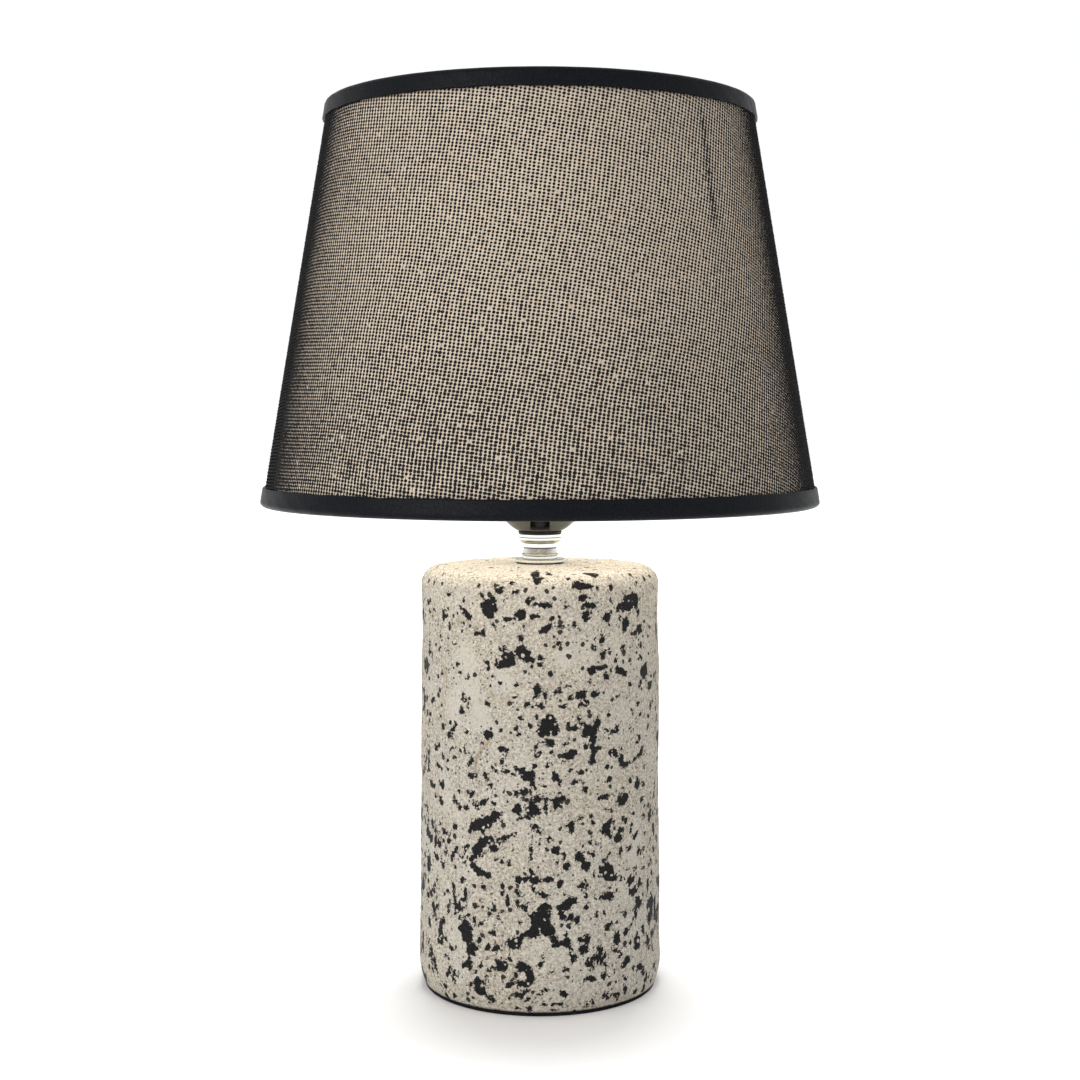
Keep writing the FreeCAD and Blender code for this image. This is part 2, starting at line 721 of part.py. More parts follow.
def main():
    os.makedirs("parts", exist_ok=True)
    roof_low, washer_low, _, _ = stack_below_roof()
    save("base_body", base_body())
    save("foot_pad", foot_pad())
    save("cord_grommet", cord_grommet())
    save("threaded_nipple", threaded_nipple())
    save("neck_washer", tube(10.6, SLIP_R, BASE_SEAT_Z, BASE_SEAT_Z + NECK_WASHER))
    save("steel_washer", tube(12.0, SLIP_R, washer_low, roof_low))
    save("lock_washer", lock_washer())
    save("hex_nut", hex_nut())
    save("neck_spool", neck_spool())
    save("neck_ring", neck_ring())
    save("holder_dome", holder_dome())
    save("dome_set_screw", dome_set_screw())
    save("holder_core", holder_core())
    save("terminal_left", terminal(-1))
    save("terminal_right", terminal(1))
    save("terminal_screws", terminal_screws())
    save("screw_shell", screw_shell())
    save("centre_contact", centre_contact())
    save("holder_sleeve", holder_sleeve())

    low, high = fabric_ends()
    net = cone_shell(0.0, NET, low, high)
    liner = cone_shell(NET, LINER, low, high)
    bottom_hoop = hoop(bottom_hoop_centre(), HOOP_R_LOW)
    top_hoop = hoop(top_hoop_centre(), HOOP_R_HIGH)
    bottom_trim = trim(SHADE_BOTTOM_Z, 1, TRIM_HEIGHT_LOW, HOOP_R_LOW)
    top_trim = trim(SHADE_TOP_Z, -1, TRIM_HEIGHT_HIGH, HOOP_R_HIGH)
    for piece in (net, liner, bottom_hoop):
        bottom_trim = bottom_trim.cut(piece)
    for piece in (net, liner, top_hoop):
        top_trim = top_trim.cut(piece)
    for number in range(SPOKES):
        wire = spoke(number)
        bottom_trim = bottom_trim.cut(wire)
        save("fitter_spoke_" + str(number + 1), wire)
    save("fitter_ring", fitter_ring())
    save("bottom_hoop", bottom_hoop)
    save("top_hoop", top_hoop)
    save("shade_liner", liner)
    save("liner_seam", liner_seam())
    save("shade_net", net)
    save("bottom_trim", bottom_trim)
    save("top_trim", top_trim)
    save("shade_clamp_ring", shade_clamp_ring())

    save("bulb_envelope", bulb_envelope())
    save("bulb_housing", bulb_housing())
    save("bulb_screw_cap", bulb_screw_cap())
    save("cap_insulator", cap_insulator())
    save("cap_contact", cap_contact())
    save("led_board", led_board())
    save("led_chips", led_chips())


main()
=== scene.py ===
"""Table lamp: speckled stone-effect base, polished neck, E27 holder and an open-weave drum shade.

Metres, in the CAD frame: +Z up, the front is -Y, the origin is under the middle of the foot.
Angles round the lamp are counted from the front, positive to the right as seen from the front.
"""

import math
import random

import bmesh
import bpy
import numpy as np
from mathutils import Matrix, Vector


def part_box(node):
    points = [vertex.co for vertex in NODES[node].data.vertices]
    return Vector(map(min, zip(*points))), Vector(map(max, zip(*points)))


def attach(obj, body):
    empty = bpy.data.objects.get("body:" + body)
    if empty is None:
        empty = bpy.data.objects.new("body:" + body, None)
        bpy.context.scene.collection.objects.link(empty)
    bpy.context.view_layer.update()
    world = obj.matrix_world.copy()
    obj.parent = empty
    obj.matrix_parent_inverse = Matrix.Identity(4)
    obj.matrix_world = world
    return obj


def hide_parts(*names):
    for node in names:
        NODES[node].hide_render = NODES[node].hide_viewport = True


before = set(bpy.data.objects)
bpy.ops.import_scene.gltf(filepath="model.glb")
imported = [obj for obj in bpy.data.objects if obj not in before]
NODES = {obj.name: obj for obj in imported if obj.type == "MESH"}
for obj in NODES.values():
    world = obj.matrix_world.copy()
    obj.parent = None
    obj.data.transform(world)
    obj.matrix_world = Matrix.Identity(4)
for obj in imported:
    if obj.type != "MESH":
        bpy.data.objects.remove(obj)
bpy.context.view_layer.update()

MM = 0.001
scene = bpy.context.scene
TURN = 2 * math.pi


# Mesh helpers


def new_mesh(name, verts, faces, smooth):
    """A new mesh object from arrays of points and of faces with equal numbers of sides."""
    sides = faces.shape[1]
    mesh = bpy.data.meshes.new(name)
    mesh.vertices.add(len(verts))
    mesh.vertices.foreach_set("co", np.ascontiguousarray(verts, np.float32).ravel())
    mesh.loops.add(faces.size)
    mesh.loops.foreach_set("vertex_index", np.ascontiguousarray(faces, np.int32).ravel())
    mesh.polygons.add(len(faces))
    mesh.polygons.foreach_set("loop_start", np.arange(0, faces.size, sides, dtype=np.int32))
    mesh.polygons.foreach_set("use_smooth", np.full(len(faces), smooth))
    mesh.update(calc_edges=True)
    obj = bpy.data.objects.new(name, mesh)
    scene.collection.objects.link(obj)
    return obj


def ring_faces(rings, steps, closed_section=False):
    """Quads between rings of points round the axis; closed_section also joins the last to the first."""
    i = np.arange(rings if closed_section else rings - 1)[:, None]
    k = np.arange(steps)[None, :]
    low, high = i * steps, (i + 1) % rings * steps
    right = (k + 1) % steps
    return np.stack([low + k, low + right, high + right, high + k], axis=-1).reshape(-1, 4)


def round_points(profile, steps):
    """Points of a section (r, z) turned round the axis, ring by ring."""
    angle = np.linspace(-math.pi, math.pi, steps, endpoint=False)
    r = profile[:, 0][:, None]
    z = np.broadcast_to(profile[:, 1][:, None], (len(profile), steps))
    return np.stack([r * np.sin(angle), -r * np.cos(angle), z], -1).reshape(-1, 3)


def arc(centre, radius, start, end, count):
    """Points of a circle in the section, in degrees from the outward direction."""
    a = np.radians(np.linspace(start, end, count))
    return np.stack([centre[0] + radius * np.cos(a), centre[1] + radius * np.sin(a)], -1)


def line(start, end, count):
    """Evenly spaced points, without the last one."""
    share = np.linspace(0, 1, count, endpoint=False)[:, None]
    return np.array(start) * (1 - share) + np.array(end) * share


def smooth_step(x, low, high):
    """0 below low, 1 above high, and a smooth rise between."""
    t = np.clip((x - low) / (high - low), 0, 1)
    return t * t * (3 - 2 * t)


def waves(points, scale, seed, count=9):
    """Gentle random relief from a sum of plane waves of about one scale, near -1 to 1."""
    rng = random.Random(seed)
    total = np.zeros(len(points))
    for _ in range(count):
        way = np.array([rng.gauss(0, 1) for _ in range(3)])
        way *= TURN / scale * rng.uniform(0.6, 1.5) / np.linalg.norm(way)
        total += np.sin(points @ way + rng.uniform(0, TURN))
    return total / math.sqrt(count)


# Materials


def put(socket, value):
    """Sets a socket's value, or links another node's output to it."""
    if isinstance(value, bpy.types.NodeSocket):
        socket.id_data.links.new(value, socket)
    else:
        socket.default_value = value


def adder(tree):
    """A shortcut that adds a node to a tree, with its settings and inputs."""

    def add(kind, inputs=None, **settings):
        node = tree.nodes.new(kind)
        for key, value in settings.items():
            setattr(node, key, value)
        for key, value in (inputs or {}).items():
            put(node.inputs[key], value)
        return node

    return add


def first_node(tree, kind):
    return next(n for n in tree.nodes if n.type == kind)


def material(name):
    """A node material, its adder, and a shortcut that fills its Principled shader's sockets."""
    mat = bpy.data.materials.new(name)
    mat.use_nodes = True
    shader = first_node(mat.node_tree, "BSDF_PRINCIPLED")

    def fill(**sockets):
        for key, value in sockets.items():
            put(shader.inputs[key.replace("_", " ")], value)

    return mat, adder(mat.node_tree), fill


def objects_place(add):
    return add("ShaderNodeTexCoord").outputs["Object"]


def noise(add, place, scale, detail=2.0, roughness=0.5):
    inputs = {"Vector": place, "Scale": scale, "Detail": detail, "Roughness": roughness}
    return add("ShaderNodeTexNoise", inputs).outputs["Fac"]


def maths(add, operation, a, b=0.0):
    return add("ShaderNodeMath", {0: a, 1: b}, operation=operation).outputs[0]


def times(add, a, b):
    return maths(add, "MULTIPLY", a, b)


def ramp(add, value, low, high, out_low=0.0, out_high=1.0):
    """value taken from low..high to out_low..out_high, and held there."""
    inputs = {"Value": value, "From Min": low, "From Max": high, "To Min": out_low, "To Max": out_high}
    return add("ShaderNodeMapRange", inputs).outputs["Result"]


def blend(add, share, a, b):
    """A colour mix; a and b are colours or sockets."""
    a, b = (value if isinstance(value, bpy.types.NodeSocket) else (*value, 1.0) for value in (a, b))
    return add("ShaderNodeMix", {0: share, 6: a, 7: b}, data_type="RGBA").outputs[2]


def bump(add, height, strength, distance):
    node = add("ShaderNodeBump", {"Height": height, "Strength": strength, "Distance": distance})
    return node.outputs["Normal"]


def dress(obj, mat):
    """Gives every slot of an object this material, on the object and not on its mesh."""
    if not obj.data.materials:
        obj.data.materials.append(None)
    for slot in obj.material_slots:
        slot.link = "OBJECT"
        slot.material = mat


def plain_material(name, colour, roughness, metallic=0.0, grain=0.06, bump_mm=0.02, **sockets):
    """Moulded, rubber or metal surface: fine mottling of its colour and roughness, and a fine bump."""
    mat, add, fill = material(name)
    place = objects_place(add)
    fine = noise(add, place, 900.0, 3.0, 0.6)
    broad = noise(add, place, 75.0, 2.0)
    mottle = maths(add, "ADD", times(add, fine, 0.6), times(add, broad, 0.4))
    dark = tuple(c * (1 - grain * 2) for c in colour)
    light = tuple(min(1.0, c * (1 + grain * 2)) for c in colour)
    fill(Base_Color=blend(add, ramp(add, mottle, 0.3, 0.7), dark, light))
    rough = ramp(add, mottle, 0.3, 0.7, max(0.02, roughness - 0.06), min(1.0, roughness + 0.06))
    fill(Roughness=rough, Metallic=metallic)
    fill(Normal=bump(add, fine, 0.35, bump_mm * MM), **sockets)
    return mat


# Base: sizes

base_low, base_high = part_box("base_body")
BASE_R = base_high.x  # widest radius, just above the bottom rounding
BASE_R_TOP = BASE_R - 1.0 * MM
CROWN = 1.2 * MM  # rise of the roof to the flat seat under the neck
SEAT_R = 13.0 * MM
BASE_TOP = base_high.z - CROWN
BASE_FOOT = base_low.z
BASE_FOOT_R = BASE_R - 2.1 * MM
FOOT_ROUND_Z = 12.0 * MM  # the wall curves in below this height
FOOT_ROUND_R = 26.0 * MM
SHOULDER = 7.5 * MM
WALL = 7.0 * MM
ROOF = 9.0 * MM
ROOF_HOLE_R = 5.3 * MM
BASE_STEPS = 410
GROMMET_R = 6.02 * MM  # the cord's hole, with a little room for the grommet
GROMMET_SEAT = 2.0 * MM  # depth of the flange's flat seat, and the room round the flange
GROMMET_ROOM = 0.2 * MM
INNER_WALL_Y = 41.0 * MM  # inside the hollow, where the hole's cutter starts
CUTTER_DEPTH = 20.0 * MM

# Relief of the skin: scale and height of its waves in millimetres, and their seeds
RELIEF = [(46, 0.22, 3), (17, 0.10, 4), (6, 0.05, 5), (2.6, 0.06, 6)]
BULGE = (142, 9, 0.35)  # a soft ring round the wall: height, half width, height of relief


def base_profile():
    """The base's section: outer skin from the foot to the middle of the roof, then the hollow."""
    top_edge = BASE_TOP - SHOULDER
    steepest = math.degrees(math.acos(1 - (BASE_R - BASE_FOOT_R) / FOOT_ROUND_R))
    foot_start = FOOT_ROUND_Z - FOOT_ROUND_R * math.sin(math.radians(steepest))
    heel = line((BASE_FOOT_R, BASE_FOOT), (BASE_FOOT_R, foot_start), 2)
    foot = arc((BASE_R - FOOT_ROUND_R, FOOT_ROUND_Z), FOOT_ROUND_R, -steepest, 0, 14)[:-1]
    side = line((BASE_R, FOOT_ROUND_Z), (BASE_R_TOP, top_edge), 160)
    shoulder = arc((BASE_R_TOP - SHOULDER, top_edge), SHOULDER, 0, 90, 16)[:-1]
    roof = line((BASE_R_TOP - SHOULDER, BASE_TOP), (SEAT_R, BASE_TOP + CROWN), 26)
    seat = line((SEAT_R, BASE_TOP + CROWN), (ROOF_HOLE_R, BASE_TOP + CROWN), 5)
    outer = np.vstack([heel, foot, side, shoulder, roof, seat])
    inner_r = BASE_R - WALL
    hole = line((ROOF_HOLE_R, BASE_TOP + CROWN), (ROOF_HOLE_R, BASE_TOP - ROOF), 2)
    ceiling = line((ROOF_HOLE_R, BASE_TOP - ROOF), (inner_r, BASE_TOP - ROOF), 5)
    wall = line((inner_r, BASE_TOP - ROOF), (inner_r, BASE_FOOT), 8)
    lip = line((inner_r, BASE_FOOT), (BASE_FOOT_R, BASE_FOOT), 2)
    return np.vstack([outer, hole, ceiling, wall, lip]), len(outer)


# Base: the marks. Angles in degrees from the front, lengths in millimetres.
# Paint splashes: angle, height, width, tallness, lean (degrees, positive when the right end is up)

SPLASHES = [
    (-2.5, 194, 4.2, 17, 0), (-1, 185.5, 3, 4, -50), (5, 193, 2.4, 7, 0), (28, 190.5, 6, 8, 0),
    (21, 182, 13, 3, -8), (20, 177, 3.5, 3, 20), (24, 174, 4.4, 1.5, -8), (47, 174, 11, 6.8, 10),
    (40, 172.5, 5, 2.5, 15), (55, 175.5, 3, 1.2, 30), (33, 168.5, 3.4, 4.3, 0), (22, 169.5, 4.2, 3.4, 30),
    (44, 165.5, 5.5, 3, 40), (43, 162.5, 2.6, 3, 0), (54, 162, 4.5, 3, 60), (51, 160.5, 4, 2.6, 20),
    (-24, 172.5, 7.4, 7.6, 20), (-22, 177, 2.4, 3, 60), (-27, 173.5, 3, 3, 0), (-9, 170, 5, 3.8, 10),
    (-13, 168.5, 5, 1.4, 12), (-3, 170, 3.3, 2.2, 5), (-19, 180.5, 3.4, 2.4, 10), (-16, 180, 5, 0.9, -5),
    (-51, 168.5, 4.8, 4, 50), (-38, 170.5, 5, 2.2, -30), (-36, 169, 2, 3.6, 30), (-13.5, 183, 2, 2, 0),
    (-30, 182, 2, 1.7, 0), (-5, 176, 2, 2, 0), (4.5, 175, 1.5, 2.3, 70), (2.5, 164, 5, 2.4, 28),
    (9.5, 165, 3, 1.3, -25), (-14.5, 151, 6, 6.4, 15), (-18, 149, 3, 3.4, 0), (-7.5, 154, 6, 6, 0),
    (-5, 151.5, 4.4, 3, 0), (0.5, 152, 3.2, 1.6, 0), (-70, 144, 8, 7, 0), (-25, 149.5, 2, 2, 0),
    (30, 147, 7, 1.9, -5), (23.5, 146, 3, 2.5, 15), (41, 144, 6.4, 2, -32), (58, 143, 6.4, 5.5, 80),
    (55, 138, 3.5, 1.6, 60), (63.5, 136, 3.4, 4.4, 80), (30, 158.5, 2.2, 3, 0), (26, 156, 2, 1.6, 0),
    (30.5, 152.5, 2.4, 3, -50), (36.5, 149.5, 2.3, 1.5, 20), (32, 143, 2.4, 3.4, 60),
    (-0.5, 138.5, 3.6, 2.2, 0), (0, 132.7, 3, 1.5, 0), (-2, 135.8, 1.6, 2, 0), (2, 135, 1.4, 2, 0),
    (19, 136, 3, 5, 60), (20.5, 132.5, 2.4, 4, -70), (14, 135.5, 4, 1, 40), (24.5, 136.6, 5, 1.6, -10),
    (-39, 128, 2.4, 4.4, 0), (4, 123.5, 8.2, 7.6, 0), (1, 121, 4, 4, 45), (7, 121, 3.4, 3.8, -30),
    (23.5, 120.5, 7, 5.4, 0), (27, 124, 2.6, 2.6, 0), (20.5, 124, 2.4, 1.8, 0), (24.5, 116.5, 3.6, 4, 0),
    (25, 112, 1.1, 6, 2), (25, 107, 5, 2, -8), (16, 122.3, 4.4, 1.8, -5), (33, 119.5, 3.5, 1.2, -20),
    (36, 120, 4, 0.9, 28), (-10.5, 122.3, 2.6, 2.5, 0), (-24.5, 118.7, 3.5, 3.3, 0),
    (5, 116.5, 3.4, 3.2, 40), (2, 115.8, 3.5, 0.9, -25), (11.5, 115.6, 2.7, 1.9, 20), (13, 110.5, 6, 3, 18),
    (27.5, 113, 3, 1.8, -5), (36, 110.5, 4, 3.5, 0), (41, 107, 3.4, 1.5, -60), (42.5, 105, 4.6, 1.6, -15),
    (52, 106.5, 9.5, 1.9, 14), (56, 109, 2.6, 1.7, 60), (-47, 116.8, 2.3, 2.7, 0), (-22, 105, 2.1, 2, 0),
    (-15, 103.7, 2.6, 1.4, 0), (-8, 104, 4.6, 2.2, 10), (-5, 102.5, 3.6, 5, -60), (-3.5, 99, 1.6, 3, 0),
    (-26, 101, 2.8, 2.3, 0), (7, 102, 2.4, 3.2, 50), (8.5, 99, 1.5, 2.5, -50), (16, 99.2, 2.6, 1.7, 0),
    (-6.5, 96, 3.8, 1.3, 0), (-8, 95, 1.2, 3, 0), (21.5, 95.5, 2.2, 1.8, -30), (-33, 100.3, 2.2, 1.8, 0),
    (-65, 104.5, 6, 1.3, 85), (-69, 103, 5, 1.2, 85), (41.5, 89.5, 6, 5, 10), (-1.5, 92, 6.6, 2.2, 5),
    (-5, 88, 3, 5.6, 0), (-2.5, 87.5, 4, 4.6, 0), (-10.5, 88, 3.6, 4, 40), (-8.5, 85.5, 2.4, 3, 0),
    (8, 92.5, 5.6, 2, 5), (7, 90, 3.4, 3.4, 50), (-27, 81, 11, 5.4, 26), (-20.5, 85, 6, 3.6, 20),
    (-33, 78, 5, 3, 40), (-25, 73.5, 7.4, 3.6, 18), (-22, 71, 3.4, 4, 60), (-18, 75, 5, 0.9, 22),
    (-14, 76.5, 3, 1.3, 20), (-29.5, 69.5, 4.4, 4, 55), (-32, 65.5, 6, 0.9, 25), (-31, 63, 1.6, 3, -20),
    (-29, 60.5, 4.6, 3, -25), (-24.5, 59, 3.6, 2, -20), (-58, 70, 9, 2, 82), (-54, 68, 6, 1.3, -80),
    (-47, 70.5, 3.8, 1.8, 75), (-66, 57, 6.5, 4.5, 80), (14, 81, 3.3, 2.8, -10), (31, 78.5, 5, 3, 60),
    (34, 80.5, 4.6, 1.6, 70), (32, 76.8, 5, 1.6, -10), (37, 77, 2, 1.8, 0), (24, 72.5, 3.2, 1.2, -40),
    (26, 72, 2.2, 1, 10), (7, 71, 3.6, 3, -20), (45.5, 67.6, 3, 2.2, 0), (4, 75, 1.8, 2.5, -20),
    (-4, 70.5, 6.6, 0.8, 85), (-2.5, 79, 4, 0.9, -50), (0, 77, 2.4, 0.9, 80), (11, 67.5, 1.5, 3, 0),
    (11.5, 64.5, 3, 3, 0), (18, 67.5, 3.4, 3, -40), (21, 63.5, 3.4, 4, -60), (32.5, 59, 6.4, 6, 0),
    (36, 57, 4.4, 2.4, -20), (30, 60, 3, 2.5, 0), (-3, 58.5, 5, 3.4, -20), (-4, 61, 1.1, 4, 0),
    (-10, 58.6, 2.6, 2.6, 0), (-10, 52.6, 3, 2.4, -20), (-15, 48.5, 2.4, 4.6, 0), (-8, 47.5, 4.4, 1.5, -15),
    (-6, 46.5, 1.3, 2.4, 0), (4.5, 58.8, 3.6, 1.5, 28), (9, 56.6, 2.3, 2.8, 0), (19, 56, 3.6, 2.6, 40),
    (21, 54, 2, 4, -20), (46, 53.5, 4.6, 3.8, -30), (48.5, 49, 5, 2.6, 30), (34, 48.8, 3.4, 3.9, -20),
    (11.5, 47.5, 4.6, 4, 20), (9.5, 44, 2.4, 4, 50), (15.5, 49.4, 4, 2, -10), (14, 42.5, 2, 2.4, 0),
    (17, 41, 2, 2.6, 0), (1.5, 52.3, 1.9, 3.6, 30), (53, 43, 3.4, 5, 0), (50, 38, 0.9, 6, 0),
    (47, 35, 4, 0.9, 60), (43, 32.5, 3.4, 2.6, 10), (66, 40, 3.6, 8, 0), (70, 37, 3, 8, 0),
    (61, 41, 1.2, 7, 0), (37.5, 30.5, 3, 5.4, 0), (-41, 43.5, 4.6, 3.6, 0), (-43, 47, 1.4, 4, 25),
    (-39, 43, 4, 1.4, 20), (-36, 49, 1.7, 4, 0), (-46, 44, 1.3, 4.6, 0), (-24, 43.8, 2.8, 2, -20),
    (-19, 41.5, 4, 1.2, -50), (-35, 33, 5.2, 9, -10), (-32.5, 27, 5, 5, 0), (-36.5, 37.5, 3, 3, 40),
    (-34, 22, 1.5, 6, 0), (-37, 19, 4, 1.6, 40), (0, 42, 8.6, 7, 0), (3.5, 37, 7, 5, -40),
    (-3, 36.5, 6, 5, 40), (2, 46.5, 5.4, 3.4, 10), (6.5, 33.5, 6, 2.8, -50), (8.5, 30.8, 4, 1.8, -10),
    (-8, 34.5, 6, 1.6, 42), (-12, 31.5, 6, 4.6, 10), (-20, 28.5, 4.4, 2.8, -5), (-24, 28.5, 2.6, 1.8, 30),
    (-17.5, 24.5, 0.9, 5, 0), (-19, 20.5, 3.8, 2, 15), (12.5, 31.5, 5, 3, 0), (14.5, 26, 1.7, 7, 0),
    (20, 28, 4.6, 3.4, 30), (22, 32.3, 3.4, 2.6, 20), (24, 23, 4.6, 2.8, 30), (28, 24.5, 0.9, 4, -20),
    (30, 23, 3, 0.9, 60), (-8, 22, 4, 4, 0), (-4.5, 18, 3, 7, 0), (-8, 14.5, 5, 2.6, -10),
    (-11, 17, 1.5, 3, 0), (-12.5, 22, 3, 1, -10), (-29.5, 13, 3.6, 3.4, 0), (-28, 9.5, 4.6, 3, -30),
    (-26, 13.5, 2, 2, 0), (-24, 6.5, 2.4, 1, -60), (-10, 10, 7, 1.5, 22), (2, 11.6, 3.8, 1.8, 22),
    (-47, 14, 4.4, 1.6, 70), (-43, 15, 3.6, 1.3, -40), (-61, 19, 4, 7.4, 0), (-57, 16, 1.4, 6, 20),
    (-72, 22, 3, 8, 0), (-53, 32, 2.6, 6.4, -15), (-50, 29, 3, 1.3, -30), (24, 15, 3.3, 2.5, -30),
    (53, 15, 4, 1.5, -10), (55, 13, 1.5, 4, 25), (44, 20.5, 2.4, 1.8, 0), (37, 6.5, 3.6, 1.2, -20),
    (10, 10.5, 2.4, 2.2, 0), (8.5, 5.5, 3, 1.3, -20), (30, 15.5, 2.2, 2.2, 0), (84, 23, 4, 7, 0),
    (82, 100, 3, 6, 0), (76, 158, 3, 7, 0),
]

# Grooves, cracks and crater rims: points (angle, height), width and depth
GROOVES = [
    ([(-24, 116), (-27.5, 112.5), (-30.5, 109), (-31, 104), (-30.5, 99.5)], 1.3, 0.45),
    ([(-52, 146), (-49.5, 143), (-49, 139.5)], 1.3, 0.4),
    ([(-43, 163), (-40, 166), (-36, 167), (-32, 165.5), (-30, 162.5)], 0.8, 0.3),
    ([(-24, 137), (-21, 133.8), (-17.5, 133.2), (-15, 135.8)], 0.8, 0.35),
    ([(-36, 130), (-33, 126.5), (-30, 124.5)], 0.7, 0.25),
    ([(-58, 103), (-55.5, 97), (-55, 88)], 0.8, 0.35),
    ([(-57, 92), (-53, 85), (-51, 76)], 0.6, 0.2),
    ([(-38, 183.5), (-34, 183), (-29, 182.3)], 0.6, 0.25),
    ([(-44, 179.5), (-38, 179), (-32, 178.8)], 0.5, 0.2),
    ([(-2, 167.5), (2, 168.6), (7, 168.8)], 0.6, 0.25),
    ([(7, 153), (8.5, 150.5), (8, 148)], 0.6, 0.2),
    ([(5, 161), (9, 158.5), (8, 156), (4, 156.5)], 0.5, 0.18),
    ([(27, 137), (32, 141)], 0.6, 0.2),
    ([(-26, 114), (-20, 117.5), (-12, 117), (-4, 116.3)], 0.5, 0.18),
    ([(-44, 117), (-40, 114), (-36, 112)], 0.5, 0.2),
    ([(-50, 150), (-49.5, 138), (-51, 124), (-50, 113)], 0.5, 0.2),
]

# Shallow dents: angle, height, radius, depth
DENTS = [
    (-36, 158, 8, 0.5), (-20, 137, 5, 0.5), (6, 158, 6, 0.35), (-35, 121, 11, 0.45), (20, 158, 8, 0.3),
    (-5, 142, 9, 0.35), (40, 130, 10, 0.4), (-50, 96, 9, 0.45), (35, 66, 12, 0.4), (-62, 132, 8, 0.5),
    (62, 150, 9, -0.4), (-66, 150, 8, -0.5), (66, 84, 12, 0.4), (0, 106, 14, 0.3), (-14, 66, 12, 0.3),
]

# Worn pale patches: angle, height, half width and half height
WORN = [
    (-36, 150, 8, 8), (-34, 138, 9, 9), (-30, 126, 7, 7), (-24, 122, 8, 5), (-44, 130, 7, 12),
    (-17, 141, 7, 5), (12, 152, 8, 5), (-52, 92, 6, 12), (50, 68, 7, 14), (122, 140, 12, 10),
    (205, 70, 12, 14),
]


def apart(angle, z, centre, height, r):
    """Distances along and up the wall from a mark's centre, in millimetres."""
    turn = (angle - math.radians(centre) + math.pi) % TURN - math.pi
    return turn * r / MM, (z - height * MM) / MM


def ellipse_field(angle, z, r, mark):
    """How far inside a splash each point is, in millimetres: positive inside it."""
    centre, height, width, tall, lean = mark
    along, up = apart(angle, z, centre, height, r)
    c, s = math.cos(math.radians(lean)), math.sin(math.radians(lean))
    u = (along * c + up * s) / (width / 2)
    v = (up * c - along * s) / (tall / 2)
    return (1 - np.sqrt(u * u + v * v)) * min(width, tall) / 2


def extra_splashes(rng):
    """Random splashes for the sides and back, and small ones all round, denser towards the foot."""
    marks = []

    def mark(angle, height, size, flattest, roundest):
        marks.append((angle, height, size, size * rng.uniform(flattest, roundest), rng.uniform(-90, 90)))

    for _ in range(200):
        angle = rng.uniform(72, 288)
        height = BASE_TOP / MM * (1 - rng.random() ** 0.7) + 3
        size = rng.choice((2.0, 2.6, 3.4, 4.4, 6.4))
        mark(angle, height, size, 0.4, 1.1)
        if size > 4:
            for _ in range(3):
                part = size * rng.uniform(0.3, 0.7)
                mark(angle + rng.uniform(-5, 5), height + rng.uniform(-4, 4), part, 0.3, 0.9)
    for _ in range(90):
        angle = rng.choice((-1, 1)) * rng.uniform(30, 78)
        size = rng.uniform(2.0, 4.2)
        mark(angle, rng.uniform(4, 95), size, 0.35, 0.9)
    for _ in range(1200):
        height = 184 * (1 - rng.random() ** 0.75) + 3
        size = rng.uniform(0.9, 1.9)
        mark(rng.uniform(-180, 180), height, size, 0.55, 1.0)
    return marks


def ink_field(points):
    """Signed distance into the nearest splash for each point of the base, in millimetres."""
    r = np.maximum(np.hypot(points[:, 0], points[:, 1]), 20 * MM)
    angle = np.arctan2(points[:, 0], -points[:, 1])
    # Past the wall, the height runs on along the curved shoulder and then inwards on the roof
    shoulder_z = BASE_TOP - SHOULDER
    bend = np.arcsin(np.clip((points[:, 2] - shoulder_z) / SHOULDER, 0, 1))
    z = np.where(points[:, 2] > shoulder_z, shoulder_z + SHOULDER * bend, points[:, 2])
    over = r < BASE_R_TOP - SHOULDER
    z[over] += BASE_R_TOP - SHOULDER - r[over]
    order = np.argsort(z)
    sorted_z = z[order]
    field = np.full(len(points), -6.0)
    for mark in SPLASHES + extra_splashes(random.Random(11)):
        reach = (max(mark[2], mark[3]) / 2 + 3) * MM
        first, last = np.searchsorted(sorted_z, (mark[1] * MM - reach, mark[1] * MM + reach))
        near = order[first:last]
        value = ellipse_field(angle[near], z[near], BASE_R, mark)
        field[near] = np.maximum(field[near], value)
    return field


def worn_field(points):
    """How smooth and pale each point of the base is worn, from 0 to 0.7."""
    angle = np.arctan2(points[:, 0], -points[:, 1])
    worn = np.zeros(len(points))
    for centre, height, wide, tall in WORN:
        x, y = apart(angle, points[:, 2], centre, height, BASE_R)
        gap = np.hypot(x / wide, y / tall) + 0.18 * waves(points, 9 * MM, 8)
        worn = np.maximum(worn, 1 - smooth_step(gap, 0.3, 1.3))
    return 0.7 * worn


def groove_field(points, groove):
    """Distance in millimetres from a groove's line, over the points."""
    stops, _, _ = groove
    angle = np.arctan2(points[:, 0], -points[:, 1])
    best = np.full(len(points), 99.0)
    for (a0, z0), (a1, z1) in zip(stops, stops[1:]):
        x, y = apart(angle, points[:, 2], a0, z0, BASE_R)
        end_x = math.radians(a1 - a0) * BASE_R / MM
        end_y = z1 - z0
        t = np.clip((x * end_x + y * end_y) / (end_x**2 + end_y**2), 0, 1)
        best = np.minimum(best, np.hypot(x - t * end_x, y - t * end_y))
    return best


